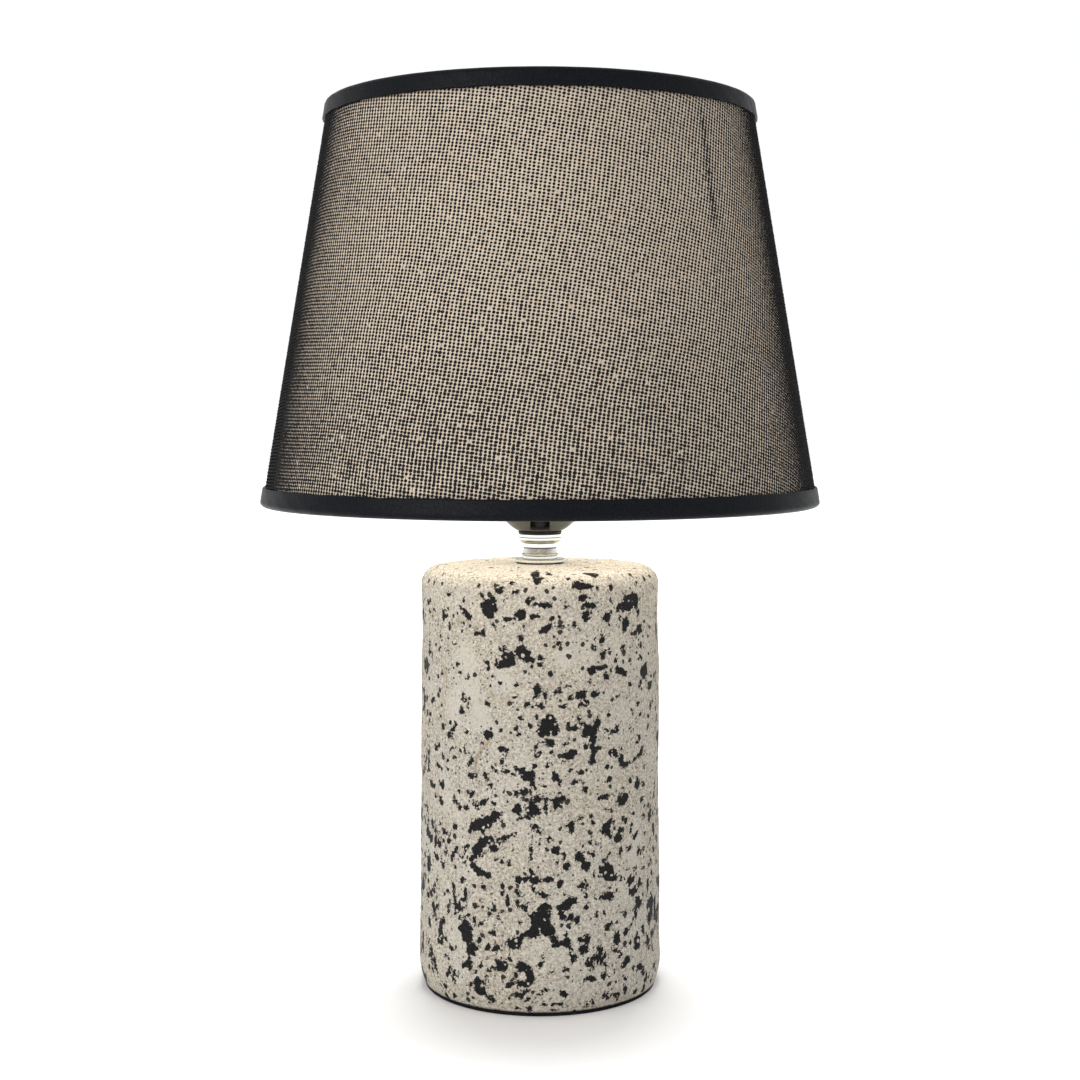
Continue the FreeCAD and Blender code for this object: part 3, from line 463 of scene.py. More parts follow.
def base_relief(points):
    """How far the skin stands out or in at each point, in metres, and how stained it is."""
    angle = np.arctan2(points[:, 0], -points[:, 1])
    out = sum(height * waves(points, scale * MM, seed) for scale, height, seed in RELIEF)
    ring_z, half, ring_out = BULGE
    out += ring_out * np.exp(-(((points[:, 2] / MM - ring_z) / half) ** 2)) * (1 + 0.5 * np.sin(angle * 2))
    stain = np.zeros(len(points))
    for centre, height, radius, depth in DENTS:
        x, y = apart(angle, points[:, 2], centre, height, BASE_R)
        share = np.clip(1 - (x * x + y * y) / radius**2, 0, 1)
        out -= depth * share * share
    for groove in GROOVES:
        gap = groove_field(points, groove)
        share = np.exp(-((gap / (groove[1] * 0.6)) ** 2))
        lip = np.exp(-(((gap - groove[1] * 1.3) / (groove[1] * 0.6)) ** 2))
        out += groove[2] * (0.3 * lip - share)
        stain = np.maximum(stain, share * groove[2] / 0.45)
    return out * MM, stain


def make_base():
    """The ceramic shell with its relief, cord hole and the spatter's field, as one closed mesh."""
    profile, outer_rings = base_profile()
    points = round_points(profile, BASE_STEPS)
    outer = np.arange(len(points)) < outer_rings * BASE_STEPS
    out, _ = base_relief(points[outer])
    skin = points[outer]
    r = np.hypot(skin[:, 0], skin[:, 1])
    fade = smooth_step(skin[:, 2], BASE_FOOT, BASE_FOOT + 5 * MM) * smooth_step(r, 9 * MM, 22 * MM)
    on_roof = smooth_step(r, BASE_R_TOP - SHOULDER, BASE_R_TOP - 1 * MM)
    sideways = (1 + (out * fade * on_roof) / r)[:, None]
    skin[:, :2] *= sideways
    skin[:, 2] += out * fade * (1 - on_roof) * 0.8
    points[outer] = skin
    obj = new_mesh("stone_base", points, ring_faces(len(profile), BASE_STEPS, closed_section=True), True)
    cut_cord_hole(obj)
    mesh = obj.data
    places = np.empty(len(mesh.vertices) * 3, np.float32)
    mesh.vertices.foreach_get("co", places)
    places = places.reshape(-1, 3).astype(float)
    _, stain = base_relief(places)
    fields = {"ink": ink_field(places), "stain": stain, "worn": worn_field(places)}
    for name, values in fields.items():
        layer = mesh.attributes.new(name, "FLOAT", "POINT")
        layer.data.foreach_set("value", values.astype(np.float32))
    dress(obj, stone_material())
    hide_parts("base_body")
    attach(obj, "lamp")
    return obj


def cut_cord_hole(obj):
    """Bores the cord's hole through the back wall and a flat seat for the grommet's flange."""
    low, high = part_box("cord_grommet")
    height = (low.z + high.z) / 2
    flange = (high.z - low.z) / 2
    for radius, start in ((GROMMET_R, INNER_WALL_Y), (flange + GROMMET_ROOM, high.y - GROMMET_SEAT)):
        bm = bmesh.new()
        bmesh.ops.create_cone(
            bm, cap_ends=True, segments=48, radius1=radius, radius2=radius, depth=CUTTER_DEPTH
        )
        cutter_mesh = bpy.data.meshes.new("cutter")
        bm.to_mesh(cutter_mesh)
        bm.free()
        cutter = bpy.data.objects.new("cutter", cutter_mesh)
        scene.collection.objects.link(cutter)
        cutter.rotation_euler = (math.radians(90), 0, 0)
        cutter.location = (0, start + CUTTER_DEPTH / 2, height)
        modifier = obj.modifiers.new("hole", "BOOLEAN")
        modifier.operation = "DIFFERENCE"
        modifier.solver = "EXACT"
        modifier.object = cutter
        apply_modifiers(obj)
        bpy.data.objects.remove(cutter)


def apply_modifiers(obj):
    """Turns an object's modifiers into its own mesh."""
    bpy.context.view_layer.update()
    made = bpy.data.meshes.new_from_object(obj.evaluated_get(bpy.context.evaluated_depsgraph_get()))
    obj.modifiers.clear()
    old = obj.data
    obj.data = made
    bpy.data.meshes.remove(old)


def stone_material():
    """Sandy cream stone with fine specks, brown stains in its grooves and black paint spatter."""
    mat, add, fill = material("speckled_stone")
    place = objects_place(add)
    ink, stain, worn = (
        add("ShaderNodeAttribute", attribute_name=name).outputs["Fac"] for name in ("ink", "stain", "worn")
    )

    sand = noise(add, place, 1900.0, 2.0, 0.75)
    grain = noise(add, place, 900.0, 3.0, 0.75)
    patch = noise(add, place, 42.0, 3.0)
    warm = noise(add, place, 19.0, 2.0)
    cream = blend(add, ramp(add, grain, 0.36, 0.64), (0.22, 0.19, 0.148), (0.56, 0.52, 0.445))
    cool = blend(add, ramp(add, grain, 0.36, 0.64), (0.23, 0.205, 0.168), (0.555, 0.525, 0.46))
    ground = blend(add, ramp(add, warm, 0.4, 0.6), cream, cool)
    smooth_patch = maths(add, "MAXIMUM", times(add, ramp(add, patch, 0.52, 0.66), 0.35), worn)
    ground = blend(add, smooth_patch, ground, (0.47, 0.445, 0.395))
    grit = ramp(add, sand, 0.34, 0.42, 1.0, 0.0)
    grit = times(add, grit, ramp(add, patch, 0.42, 0.62, 0.75, 0.3))
    grit = times(add, grit, maths(add, "SUBTRACT", 1.0, worn))
    ground = blend(add, grit, ground, (0.12, 0.095, 0.07))
    bright = times(add, ramp(add, sand, 0.60, 0.66), 0.6)
    ground = blend(add, bright, ground, (0.74, 0.70, 0.62))
    brown = times(add, stain, ramp(add, grain, 0.3, 0.6, 0.45, 0.9))
    ground = blend(add, brown, ground, (0.27, 0.20, 0.13))

    specks = speck_share(add, place, 640.0, 0.17, 0.62)
    few = speck_share(add, place, 330.0, 0.20, 0.80)
    specks = times(add, specks, maths(add, "SUBTRACT", 0.85, times(add, worn, 0.7)))
    ground = blend(add, specks, ground, (0.045, 0.04, 0.035))
    ground = blend(add, times(add, few, 0.95), ground, (0.018, 0.017, 0.016))

    ragged = noise(add, place, 760.0, 4.0, 0.75)
    broad = noise(add, place, 280.0, 2.0)
    edge = maths(add, "ADD", ink, ramp(add, ragged, 0.25, 0.75, -0.8, 1.3))
    edge = maths(add, "ADD", edge, ramp(add, broad, 0.3, 0.7, -0.7, 0.8))
    painted = ramp(add, edge, -0.04, 0.04)
    flecks = speck_share(add, place, 420.0, 0.16, 0.72)
    painted = times(add, painted, maths(add, "SUBTRACT", 1.0, flecks))
    black = blend(add, ramp(add, sand, 0.35, 0.7), (0.004, 0.004, 0.005), (0.022, 0.021, 0.021))
    fill(Base_Color=blend(add, painted, ground, black))
    fill(Roughness=ramp(add, painted, 0.0, 1.0, 0.88, 0.55), Specular_IOR_Level=0.06)
    relief = maths(add, "ADD", times(add, sand, 0.5), times(add, grain, 0.6))
    relief = maths(add, "ADD", relief, times(add, painted, 0.25))
    fill(Normal=bump(add, relief, 0.5, 0.28 * MM))
    return mat


def speck_share(add, place, scale, size, rarity):
    """Round specks in scattered cells: 1 inside a speck. rarity is the share of cells left empty."""
    wobble = add("ShaderNodeTexNoise", {"Vector": place, "Scale": scale * 1.7, "Detail": 1.0})
    half = (0.5, 0.5, 0.5)
    shift = add("ShaderNodeVectorMath", {0: wobble.outputs["Color"], 1: half}, operation="SUBTRACT")
    moved = add("ShaderNodeVectorMath", {0: shift.outputs[0]}, operation="SCALE")
    moved.inputs["Scale"].default_value = 0.55 / scale
    where = add("ShaderNodeVectorMath", {0: place, 1: moved.outputs[0]}, operation="ADD").outputs[0]
    cells = add("ShaderNodeTexVoronoi", {"Vector": where, "Scale": scale, "Randomness": 1.0})
    chance = add("ShaderNodeSeparateColor", {"Color": cells.outputs["Color"]})
    full = maths(add, "GREATER_THAN", chance.outputs[0], rarity)
    radius = ramp(add, chance.outputs[1], 0.0, 1.0, size * 0.8, size * 2.2)
    inside = maths(add, "LESS_THAN", cells.outputs["Distance"], radius)
    return times(add, full, inside)


# Shade: sizes. The fabric is a cone that opens flat, so its weave is laid out on the flat cut.

net_low, net_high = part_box("shade_net")
BOTTOM_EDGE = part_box("bottom_trim")[0].z
TOP_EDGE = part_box("top_trim")[1].z
NET_R_LOW = net_high.x
NET_Z_LOW = net_low.z
NET_Z_HIGH = net_high.z
CONE = math.atan(28.25 / 176.3)  # the taper: millimetres in over millimetres up
APEX_Z = NET_Z_LOW + NET_R_LOW / math.tan(CONE)
SLANT_LOW = NET_R_LOW / math.sin(CONE)
SLANT_HIGH = (APEX_Z - NET_Z_HIGH) / math.cos(CONE)
SEAM_ANGLE = 44.0  # the liner's lap, to the right of the front
NET_DEPTH = 0.8 * MM  # from the weave's outside to the liner
LINER = 0.7 * MM
LAP_HALF = 5.0 * MM  # half the lap's width, then its thickness
LAP = 0.5 * MM
TAPE = 0.9 * MM  # the tape outside the cone, over the hoop, and at its inner hem
TAPE_INSIDE = 0.5 * MM
TAPE_HEM = 0.6 * MM
TAPE_ROUND = 2.1 * MM  # height of the rounded fold over the edge
HOOP_LIFT = 3.6 * MM  # the hoop's middle from the shade's edge
PITCH_ALONG = 1.75 * MM
PITCH_DOWN = 1.45 * MM
GRAIN_TURN = 9.5  # how far the weave is turned clockwise at the front
KNOT_R = 0.63 * MM
KNOT_HEIGHT = 0.40 * MM
WARP_DEPTH = 0.36 * MM
WEFT_DEPTH = 0.20 * MM
LINER_STEPS = 288
TAPE_STEPS = 360


def net_r(z):
    """Radius of the fabric's outer surface at a height."""
    return (APEX_Z - z) * math.tan(CONE)


def weave_flat(i, j):
    """Flat place of column i and row j of the weave: a grid turned by the grain, gently wavy."""
    turn = math.radians(GRAIN_TURN)
    u = i * PITCH_ALONG
    v = j * PITCH_DOWN
    u = u + 0.9 * MM * np.sin(v / 31e-3 + u / 90e-3) + 0.35 * MM * np.sin(v / 9e-3 + u / 23e-3 + 1.0)
    v = v + 1.3 * MM * np.sin(u / 43e-3 + 0.6) + 0.3 * MM * np.sin(u / 11e-3 + v / 37e-3)
    x = u * math.cos(turn) - v * math.sin(turn)
    y = -u * math.sin(turn) - v * math.cos(turn)
    return x, y - SLANT_HIGH


def on_cone(x, y, out):
    """Places of flat points wrapped on the cone, raised by out, with their angles and slants."""
    slant = np.hypot(x, y)
    opened = np.arctan2(x, -y)
    angle = opened / math.sin(CONE)
    r = slant * math.sin(CONE) + out * math.cos(CONE)
    z = APEX_Z - slant * math.cos(CONE) + out * math.sin(CONE)
    places = np.stack([r * np.sin(angle), -r * np.cos(angle), z], -1)
    return places, angle, slant


def in_cut(angle, slant, margin=0.0, lap=0.0):
    """Whether points lie on the fabric, which runs once round from the back, plus a lap."""
    aside = np.abs(angle) < math.pi + lap
    return aside & (slant > SLANT_HIGH + margin) & (slant < SLANT_LOW - margin)


def cut_grid():
    """All columns and rows that could lie on the cut."""
    reach = 1.25 * SLANT_LOW
    columns, rows = (int(reach / pitch) for pitch in (PITCH_ALONG, PITCH_DOWN))
    return np.arange(-columns, columns), np.arange(-rows, rows)


def cone_ways(angle):
    """Unit directions along, up the slope and out of the cone at an angle."""
    s, c = np.sin(angle), np.cos(angle)
    along = np.stack([c, s, np.zeros_like(c)], -1)
    outward = np.stack([math.cos(CONE) * s, -math.cos(CONE) * c, np.full_like(c, math.sin(CONE))], -1)
    up = np.cross(outward, along)
    return along, up, outward


def knot_sizes(angle, slant):
    """Radius of each knot: larger towards the foot and at the left, partly as painted shade, and larger
    along the dark streak at the lap as its painted shadow.
    """
    down = (slant - SLANT_HIGH) / (SLANT_LOW - SLANT_HIGH)
    right = np.clip(np.sin(angle), 0, 1)
    left = np.clip(-np.sin(angle), 0, 1)
    size = KNOT_R * (1 + 0.21 * smooth_step(down, 0.35, 1.0) + 0.07 * left - 0.04 * right)
    # Painted shadow of the lap: knots grow in a narrow band at the lap, in the shade's upper part
    aside = (angle - math.radians(SEAM_ANGLE - 0.5)) * 105
    upper = smooth_step(down, 0.04, 0.10) * (1 - smooth_step(down, 0.26, 0.40))
    return size * (1 + 0.45 * np.exp(-((aside / 1.6) ** 2)) * upper)


def make_knots():
    """The weave's black knots: low six-sided beads on a grid, as a left and a right half."""
    rng = np.random.default_rng(5)
    columns, rows = cut_grid()
    i, j = np.meshgrid(columns, rows)
    x, y = weave_flat(i.ravel().astype(float), j.ravel().astype(float))
    x = x + rng.normal(0, 0.05 * MM, x.shape)
    y = y + rng.normal(0, 0.05 * MM, y.shape)
    places, angle, slant = on_cone(x, y, -NET_DEPTH)
    kept = in_cut(angle, slant, 0.3 * MM) & (rng.random(len(x)) > 0.004)
    places, angle, slant = places[kept], angle[kept], slant[kept]
    size = knot_sizes(angle, slant)
    size = size * (1 + rng.normal(0, 0.09, len(size)).clip(-0.3, 0.3))
    along, up, outward = cone_ways(angle)
    stretch = 1 + rng.normal(0.06, 0.08, len(size))
    turn = rng.normal(0.5, 0.5, len(size))
    sides = 6
    rim = []
    for k in range(sides):
        a = TURN * k / sides + turn
        wide = (size * stretch * np.cos(a))[:, None]
        tall = (size / stretch * np.sin(a))[:, None]
        rim.append(places + wide * along + tall * up)
    height = KNOT_HEIGHT * (1 + rng.normal(0, 0.12, len(size)).clip(-0.3, 0.3)) + NET_DEPTH * 0.3
    tip = places + height[:, None] * outward
    knots = np.stack(rim + [tip], axis=1)
    fan = np.array([[k, (k + 1) % sides, sides] for k in range(sides)])
    made = []
    for name, mine in (("net_knots_1", angle <= 0), ("net_knots_2", angle > 0)):
        first = np.arange(mine.sum())[:, None, None] * (sides + 1)
        made.append(new_mesh(name, knots[mine].reshape(-1, 3), (first + fan).reshape(-1, 3), True))
    return made


def thread_strips(lines_at, stops, place_at, depth):
    """Thin upright ribbons along the weave's columns or rows, standing on the liner."""
    points = []
    faces = []
    total = 0
    for line_at in lines_at:
        x, y = place_at(np.full(len(stops), float(line_at)), stops.astype(float))
        foot, angle, slant = on_cone(x, y, -NET_DEPTH)
        top, _, _ = on_cone(x, y, -NET_DEPTH + depth)
        run = np.flatnonzero(in_cut(angle, slant, lap=0.03))
        for piece in np.split(run, np.flatnonzero(np.diff(run) > 1) + 1):
            if len(piece) < 2:
                continue
            n = len(piece)
            points.append(np.stack([foot[piece], top[piece]], 1).reshape(-1, 3))
            k = total + 2 * np.arange(n - 1)
            faces.append(np.stack([k, k + 2, k + 3, k + 1], -1))
            total += 2 * n
    return np.vstack(points), np.vstack(faces)


def make_threads():
    """Warp and weft threads that join the knots, as ribbons too thin to show from straight ahead."""
    columns, rows = cut_grid()
    warp, warp_faces = thread_strips(columns, rows[::4], weave_flat, WARP_DEPTH)
    weft, weft_faces = thread_strips(rows, columns[::4], lambda j, i: weave_flat(i, j), WEFT_DEPTH)
    points = np.vstack([warp, weft])
    faces = np.vstack([warp_faces, weft_faces + len(warp)])
    return new_mesh("net_threads", points, faces, True)


def make_liner():
    """Closed beige sheet under the weave."""
    heights = np.linspace(NET_Z_LOW, NET_Z_HIGH, 20)
    outer = np.stack([net_r(heights) - NET_DEPTH, heights], -1)
    inner = np.stack([net_r(heights[::-1]) - NET_DEPTH - LINER, heights[::-1]], -1)
    profile = np.vstack([outer, inner])
    points = round_points(profile, LINER_STEPS)
    return new_mesh("shade_liner_sheet", points, ring_faces(len(profile), LINER_STEPS, True), True)


def make_seam():
    """The lap strip inside the liner, from the bottom tape to the top tape."""
    low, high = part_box("liner_seam")
    heights = np.linspace(low.z, high.z, 30)
    points = []
    for z in heights:
        r = net_r(z) - NET_DEPTH - LINER
        across = math.radians(SEAM_ANGLE) + np.linspace(-1, 1, 7) * LAP_HALF / r
        for radius, angles in ((r, across), (r - LAP, across[::-1])):
            points += [(radius * math.sin(a), -radius * math.cos(a), z) for a in angles]
    faces = ring_faces(len(heights), 14).tolist()
    for end in (0, len(points) - 14):
        faces += [(end + n, end + n + 1, end + 12 - n, end + 13 - n) for n in range(6)]
    obj = new_mesh("liner_lap", np.array(points), np.array(faces), True)
    bm = bmesh.new()
    bm.from_mesh(obj.data)
    bmesh.ops.recalc_face_normals(bm, faces=bm.faces)
    bm.to_mesh(obj.data)
    bm.free()
    return obj


def make_trim(name, edge_z, way, height, hoop_r):
    """Folded tape over an edge of the shade, slightly uneven. way is +1 at the bottom edge."""
    outside = TAPE
    inside = NET_DEPTH + LINER + TAPE_INSIDE + 2 * hoop_r
    flat = NET_DEPTH + LINER + TAPE_HEM
    hem = edge_z + way * height
    turn = edge_z + way * TAPE_ROUND
    bulge = edge_z + way * (HOOP_LIFT + hoop_r + 0.3 * MM)
    slope = bulge + way * 1.6 * MM

    def at(z, out):
        return (net_r(z) + out, z)

    section = [at(hem, 0.05 * MM), at(hem, outside - 0.25 * MM), at(hem - way * 0.25 * MM, outside)]
    section += [at(hem + (turn - hem) * s, outside) for s in (0.12, 0.3, 0.5, 0.7, 0.88, 1.0)]
    middle = (outside - inside) / 2
    half = (outside + inside) / 2
    for a in range(15, 180, 15):
        c, s = math.cos(math.radians(a)), math.sin(math.radians(a))
        section.append((net_r(turn) + middle + half * c, turn - way * TAPE_ROUND * s))
    section += [at(turn, -inside), at((turn + bulge) / 2, -inside), at(bulge, -inside)]
    section += [at(slope, -flat), at(hem - way * 0.3 * MM, -flat), at(hem, -flat + 0.2 * MM)]
    section += [at(hem, -1.4 * MM), at(hem, -0.7 * MM)]
    if way < 0:
        section = section[::-1]
    profile = np.array(section)
    points = round_points(profile, TAPE_STEPS)
    angle = np.arctan2(points[:, 0], -points[:, 1])
    share = np.clip((points[:, 2] - edge_z) * way / height, 0, 1)
    wavy = 0.10 * np.sin(angle * 17 + 1) + 0.08 * np.sin(angle * 41 + 2) + 0.06 * np.sin(angle * 73)
    points[:, 2] += way * wavy * MM * share**3
    puff = 0.05 * np.sin(angle * 29 + 0.5) + 0.04 * np.sin(angle * 57 + points[:, 2] * 900)
    r = np.hypot(points[:, 0], points[:, 1])
    points[:, :2] *= (1 + puff * MM / r)[:, None]
    return new_mesh(name, points, ring_faces(len(profile), TAPE_STEPS, True), True)


def liner_material():
    """Beige paper-backed film that lets some of the light through."""
    mat, add, fill = material("beige_liner")
    place = objects_place(add)
    fibre = noise(add, place, 420.0, 4.0, 0.6)
    cloud = noise(add, place, 26.0, 2.0)
    colour = blend(add, ramp(add, fibre, 0.35, 0.65), (0.55, 0.463, 0.365), (0.695, 0.595, 0.485))
    colour = blend(add, ramp(add, cloud, 0.4, 0.6, 0.0, 0.25), colour, (0.64, 0.55, 0.43))
    fill(Base_Color=colour, Roughness=0.75)
    fill(Normal=bump(add, fibre, 0.3, 0.1 * MM))
    through = add("ShaderNodeBsdfTranslucent", {"Color": colour})
    shader = first_node(mat.node_tree, "BSDF_PRINCIPLED")
    mixed = add("ShaderNodeMixShader", {0: 0.16, 1: shader.outputs[0], 2: through.outputs[0]})
    put(first_node(mat.node_tree, "OUTPUT_MATERIAL").inputs["Surface"], mixed.outputs[0])
    return mat


def make_shade():
    """Liner, lap, weave and tapes, which ride on the shade."""
    net_black = plain_material(
        "net_thread", (0.005, 0.005, 0.006), 0.62, bump_mm=0.01, Specular_IOR_Level=0.16
    )
    tape = tape_material()

    liner = make_liner()
    dress(liner, liner_material())
    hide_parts("shade_liner")
    lap = make_seam()
    dress(lap, plain_material("lap_strip", (0.20, 0.15, 0.11), 0.7))
    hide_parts("liner_seam")
    threads = make_threads()
    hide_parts("shade_net")
    knots = make_knots()
    for piece in [threads] + knots:
        dress(piece, net_black)
    bottom = make_trim("bottom_tape", BOTTOM_EDGE, 1, 8.5 * MM, 1.5 * MM)
    top = make_trim("top_tape", TOP_EDGE, -1, 8.0 * MM, 1.3 * MM)
    for piece, node in ((bottom, "bottom_trim"), (top, "top_trim")):
        dress(piece, tape)
        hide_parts(node)
    for piece in [liner, lap, threads, bottom, top] + knots:
        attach(piece, "shade")


def tape_material():
    """Black satin tape: a fine diagonal twill that glints, over a near-black ground."""
    mat, add, fill = material("black_tape")
    place = objects_place(add)
    twill = add("ShaderNodeTexWave", {"Vector": place, "Scale": 520.0, "Distortion": 1.2, "Detail": 1.0})
    fleck = noise(add, place, 1500.0, 2.0, 0.7)
    height = maths(add, "ADD", times(add, twill.outputs["Fac"], 0.5), fleck)
    colour = blend(add, ramp(add, fleck, 0.35, 0.68), (0.0022, 0.0025, 0.0035), (0.008, 0.009, 0.012))
    fill(Base_Color=colour)
    fill(Roughness=ramp(add, fleck, 0.3, 0.7, 0.5, 0.32))
    fill(Specular_IOR_Level=0.06, Sheen_Weight=0.01, Sheen_Roughness=0.4)
    fill(Normal=bump(add, height, 0.5, 0.12 * MM))
    return mat


# Small parts, which keep their CAD shapes

# The dome's curved shoulder: its circle in the section
DOME_ARC_R = 15.5 * MM
DOME_ARC_CENTRE = 3.55 * MM
DOME_ARC_Z = 216.5 * MM

# Painted reflections of the dark shade above, drawn as dark lines on the neck: distance below its top and
# half width in millimetres, and darkness
NECK_REFLECTION_LINES = [
    (1.6, 0.24, 0.9), (4.2, 0.28, 0.8), (6.3, 0.32, 0.95), (8.8, 0.14, 0.5), (10, 0.16, 0.6),
    (11.2, 0.16, 0.45), (12.7, 0.18, 0.7),
]

BULB_GLOW = 24.0


def neck_material():
    """Bright plate with a cool green tinge, and dark lines of painted reflection where the dark shade above
    would mirror in it.
    """
    mat, add, fill = material("polished_plate")
    place = objects_place(add)
    split = add("ShaderNodeSeparateXYZ", {"Vector": place})
    height = split.outputs["Z"]
    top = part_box("neck_spool")[1].z
    # Painted reflection: dark gathers the dark bands round the neck at the listed heights
    dark = 0.0
    for below_top, half, depth in NECK_REFLECTION_LINES:
        gap = maths(add, "ABSOLUTE", maths(add, "SUBTRACT", height, top - below_top * MM))
        reflection_line = ramp(add, gap, half * 0.5 * MM, half * 1.2 * MM, depth, 0.0)
        dark = maths(add, "MAXIMUM", reflection_line, dark)
    brushed = add("ShaderNodeVectorMath", {0: place, 1: (1, 1, 14)}, operation="MULTIPLY").outputs[0]
    fine = noise(add, brushed, 700.0, 3.0, 0.6)
    plate = blend(add, ramp(add, fine, 0.35, 0.65), (0.84, 0.855, 0.80), (0.92, 0.93, 0.885))
    fill(Base_Color=blend(add, dark, plate, (0.075, 0.085, 0.07)))
    fill(Metallic=1.0, Roughness=ramp(add, fine, 0.3, 0.7, 0.16, 0.26))
    fill(Normal=bump(add, fine, 0.2, 0.02 * MM))
    return mat


def holder_material():
    """Taupe moulding, with its inner faces low in the dome painted black as painted shade, told apart by the
    distance from the holder's axis.
    """
    mat, add, fill = material("holder_shell")
    place = objects_place(add)
    split = add("ShaderNodeSeparateXYZ", {"Vector": place})
    x, y, z = (split.outputs[name] for name in "XYZ")
    across = maths(add, "SQRT", maths(add, "ADD", times(add, x, x), times(add, y, y)))
    drop = maths(add, "MINIMUM", maths(add, "SUBTRACT", z, DOME_ARC_Z), 0.0)
    room = maths(add, "SUBTRACT", DOME_ARC_R**2, times(add, drop, drop))
    skin = maths(add, "ADD", maths(add, "SQRT", maths(add, "MAXIMUM", room, 0.0)), DOME_ARC_CENTRE)
    # Painted shade: faces inside the dome's skin, below its top, turn black
    inside = maths(add, "LESS_THAN", across, maths(add, "SUBTRACT", skin, 0.9 * MM))
    low = maths(add, "LESS_THAN", z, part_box("holder_dome")[1].z - 1 * MM)
    inside = times(add, inside, low)
    fine = noise(add, place, 900.0, 3.0, 0.6)
    taupe = blend(add, ramp(add, fine, 0.35, 0.65), (0.082, 0.080, 0.070), (0.100, 0.098, 0.085))
    fill(Base_Color=blend(add, inside, taupe, (0.006, 0.006, 0.006)))
    fill(Roughness=ramp(add, fine, 0.3, 0.7, 0.32, 0.42), Specular_IOR_Level=0.3)
    fill(Normal=bump(add, fine, 0.3, 0.012 * MM))
    return mat


def bulb_material():
    """Frosted cover of a lit bulb, with a little less light at its neck."""
    mat, add, fill = material("lit_frosted_cover")
    place = objects_place(add)
    height = add("ShaderNodeSeparateXYZ", {"Vector": place}).outputs["Z"]
    neck_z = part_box("bulb_envelope")[0].z
    glow = ramp(add, height, neck_z, neck_z + 18 * MM, 0.55, 1.0)
    cloud = noise(add, place, 300.0, 2.0)
    tone = blend(add, ramp(add, cloud, 0.3, 0.7), (0.90, 0.88, 0.84), (0.95, 0.93, 0.90))
    fill(Base_Color=tone, Roughness=0.45)
    fill(Emission_Color=(1.0, 0.92, 0.80, 1.0), Emission_Strength=times(add, glow, BULB_GLOW))
    return mat


def dress_small_parts():
    """A material for each node that keeps its CAD shape."""
    chrome = neck_material()
    ring = plain_material("black_ring", (0.012, 0.012, 0.011), 0.42, bump_mm=0.01, Specular_IOR_Level=0.15)
    holder = holder_material()
    zinc = plain_material("zinc_steel", (0.62, 0.63, 0.65), 0.32, metallic=1.0)
    brass = plain_material("contact_brass", (0.78, 0.58, 0.28), 0.3, metallic=1.0)
    rubber = plain_material(
        "foot_rubber", (0.008, 0.008, 0.008), 0.85, grain=0.12, bump_mm=0.05, Specular_IOR_Level=0.08
    )
    wire = plain_material("painted_wire", (0.014, 0.014, 0.015), 0.38, bump_mm=0.01, Specular_IOR_Level=0.25)
    white = plain_material("bulb_housing_white", (0.80, 0.80, 0.78), 0.4, grain=0.02)
    cap = plain_material("nickel_cap", (0.70, 0.69, 0.65), 0.22, metallic=1.0, grain=0.03)
    glass = plain_material("black_cap_glass", (0.012, 0.012, 0.014), 0.12, bump_mm=0.002)
    board = plain_material("board_white", (0.82, 0.83, 0.82), 0.45)
    phosphor = plain_material("phosphor", (0.86, 0.66, 0.16), 0.5)
    looks = {
        rubber: "foot_pad cord_grommet neck_washer",
        zinc: "threaded_nipple steel_washer lock_washer hex_nut dome_set_screw terminal_screws",
        chrome: "neck_spool",
        # holder_core takes this black as painted shade, so the holder's window reads dark
        ring: "neck_ring holder_core shade_clamp_ring",
        holder: "holder_dome holder_sleeve",
        brass: "terminal_left terminal_right screw_shell centre_contact cap_contact",
        wire: "fitter_ring fitter_spoke_1 fitter_spoke_2 fitter_spoke_3 bottom_hoop top_hoop",
        bulb_material(): "bulb_envelope",
        white: "bulb_housing",
        cap: "bulb_screw_cap",
        glass: "cap_insulator",
        board: "led_board",
        phosphor: "led_chips",
    }
    for mat, nodes in looks.items():
        for node in nodes.split():
            dress(NODES[node], mat)


# Studio

FLOOR_HALF = 6.0
FLOOR_GLOW = 0.17  # the floor's own light round the lamp, less of it close to the base
FAR_GLOW = 0.45  # what it gains further out, where it meets the background
SKY = 0.85
BACKGROUND = 1.02
STUDIO_MIDDLE = (0, 0, 0.2)

# The camera: as far off and as high as the photograph's
CAMERA_AWAY = 0.816
CAMERA_HEIGHT = 0.258
CAMERA_LENS = 60.2
CAMERA_SHIFT = -0.123


def make_floor():
    """Plain white floor, bright enough to meet the white background, with the lamp's soft shadow: cast by
    the floor light, and deepened by painted shadow where the floor glows less close to the base.
    """
    half = FLOOR_HALF
    corners = [(-half, -half, 0), (half, -half, 0), (half, half, 0), (-half, half, 0)]
    floor = new_mesh("studio_floor", np.array(corners), np.array([[0, 1, 2, 3]]), False)
    mat, add, fill = material("studio_white")
    fill(Base_Color=(0.90, 0.90, 0.90, 1), Roughness=0.9)
    fill(Specular_IOR_Level=0.0, Emission_Color=(1, 1, 1, 1))
    away = add("ShaderNodeVectorMath", {0: objects_place(add)}, operation="LENGTH").outputs["Value"]
    # Painted shadow: the floor's glow drops close to the base
    near = ramp(add, away, 0.055, 0.125, 0.085, FLOOR_GLOW)
    glow = maths(add, "ADD", near, ramp(add, away, 0.12, 0.60, 0.0, FAR_GLOW))
    seen = maths(add, "SUBTRACT", 1.0, add("ShaderNodeLightPath").outputs["Is Diffuse Ray"])
    fill(Emission_Strength=times(add, glow, seen))
    dress(floor, mat)
    return floor


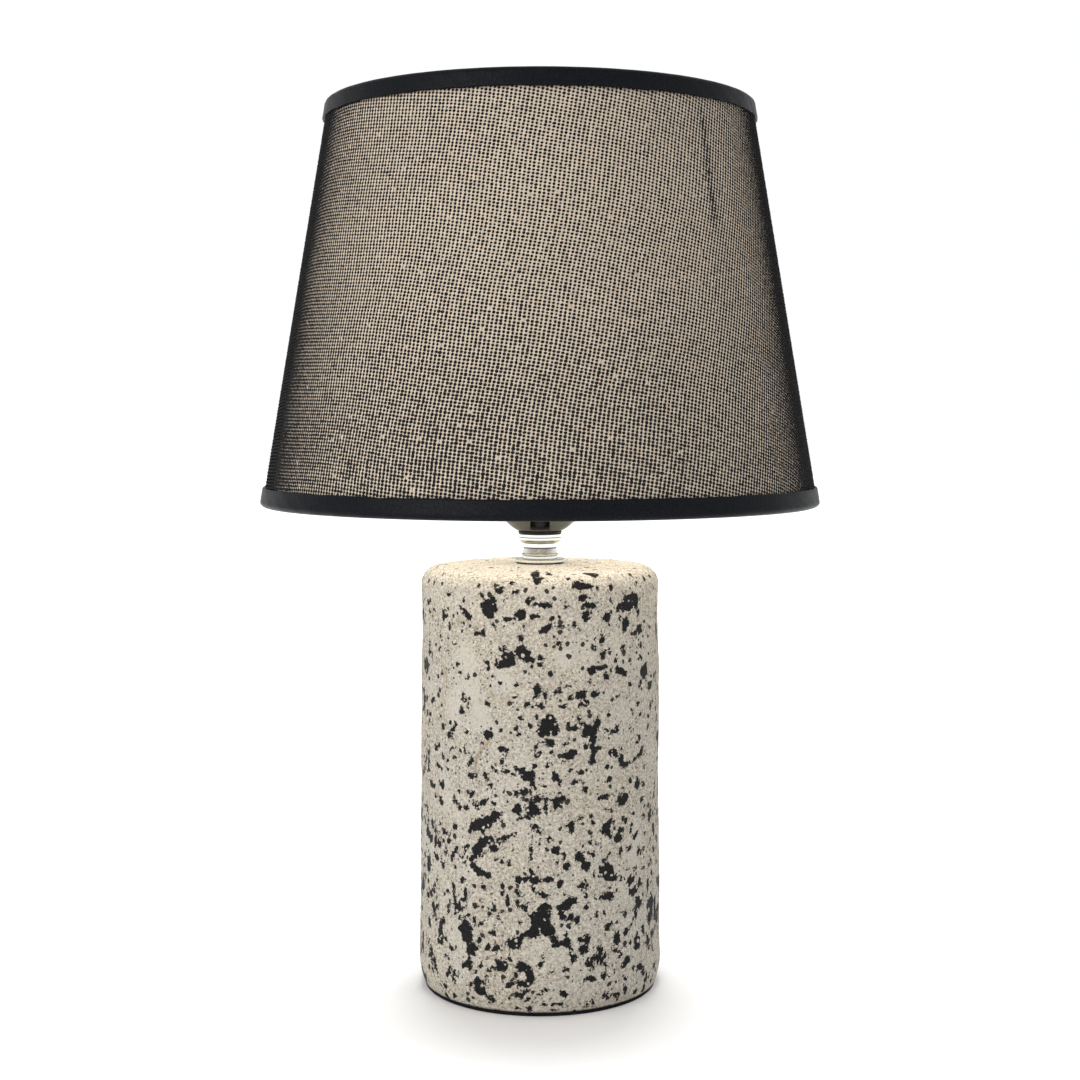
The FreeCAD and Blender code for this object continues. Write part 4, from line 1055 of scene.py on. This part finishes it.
def area_light(name, place, target, size, power, colour):
    """A round soft light that faces its target."""
    data = bpy.data.lights.new(name, "AREA")
    data.shape = "DISK"
    data.size = size
    data.energy = power
    data.color = colour
    obj = bpy.data.objects.new(name, data)
    obj.location = place
    way = np.array(target) - np.array(place)
    flat = math.hypot(way[0], way[1])
    obj.rotation_euler = (math.atan2(flat, -way[2]), 0, math.atan2(way[1], way[0]) - math.pi / 2)
    scene.collection.objects.link(obj)
    return obj


def choose(light, kind, objects, state):
    """Says which objects a light reaches, or which cast its shadow."""
    chosen = bpy.data.collections.new(f"{light.name}_{kind}")
    for obj in objects:
        chosen.objects.link(obj)
    for entry in chosen.collection_objects:
        entry.light_linking.link_state = state
    setattr(light.light_linking, kind, chosen)


def make_studio(floor, base):
    """White surroundings, two soft lights for the lamp, and one that casts its shadow on the floor."""
    world = bpy.data.worlds.new("studio_world")
    world.use_nodes = True
    scene.world = world
    add = adder(world.node_tree)
    seen = add("ShaderNodeLightPath").outputs["Is Camera Ray"]
    background = first_node(world.node_tree, "BACKGROUND")
    put(background.inputs["Color"], (1, 1, 1, 1))
    put(background.inputs["Strength"], ramp(add, seen, 0.0, 1.0, SKY, BACKGROUND))
    key = area_light("key_light", (-1.6, -1.9, 1.0), STUDIO_MIDDLE, 1.1, 32, (1.0, 0.985, 0.96))
    fill = area_light("fill_light", (1.9, -1.6, 0.8), STUDIO_MIDDLE, 1.4, 3, (1.0, 0.99, 0.97))
    for light in (key, fill):
        choose(light, "receiver_collection", [floor, NODES["neck_spool"]], "EXCLUDE")
    floor_light = area_light("floor_light", (0, 0.42, 1.5), (0, 0, 0.1), 0.55, 11.5, (0.97, 0.99, 1.0))
    choose(floor_light, "receiver_collection", [floor], "INCLUDE")
    choose(floor_light, "blocker_collection", [base, NODES["foot_pad"]], "INCLUDE")
    # The bulb's light as it spreads out of the bottom of the shade
    spill_place = (0, 0, BOTTOM_EDGE - 1 * MM)
    spill = area_light("bulb_spill", spill_place, (0, 0, 0), 0.17, 0.165, (1.0, 0.985, 0.91))
    spill.visible_camera = False
    spill.visible_glossy = False
    choose(spill, "receiver_collection", [floor], "EXCLUDE")
    scene.view_settings.view_transform = "Standard"
    scene.view_settings.look = "None"


def make_camera():
    """A level camera at the shade's lower part, far enough for a gentle perspective."""
    data = bpy.data.cameras.new("camera")
    data.lens = CAMERA_LENS
    data.sensor_width = 36.0
    data.shift_y = CAMERA_SHIFT
    data.clip_start = 0.05
    data.clip_end = 30.0
    camera = bpy.data.objects.new("camera", data)
    camera.location = (0, -CAMERA_AWAY, CAMERA_HEIGHT)
    camera.rotation_euler = (math.radians(90), 0, 0)
    scene.collection.objects.link(camera)
    scene.camera = camera


make_camera()
stone_base = make_base()
make_shade()
dress_small_parts()
make_studio(make_floor(), stone_base)
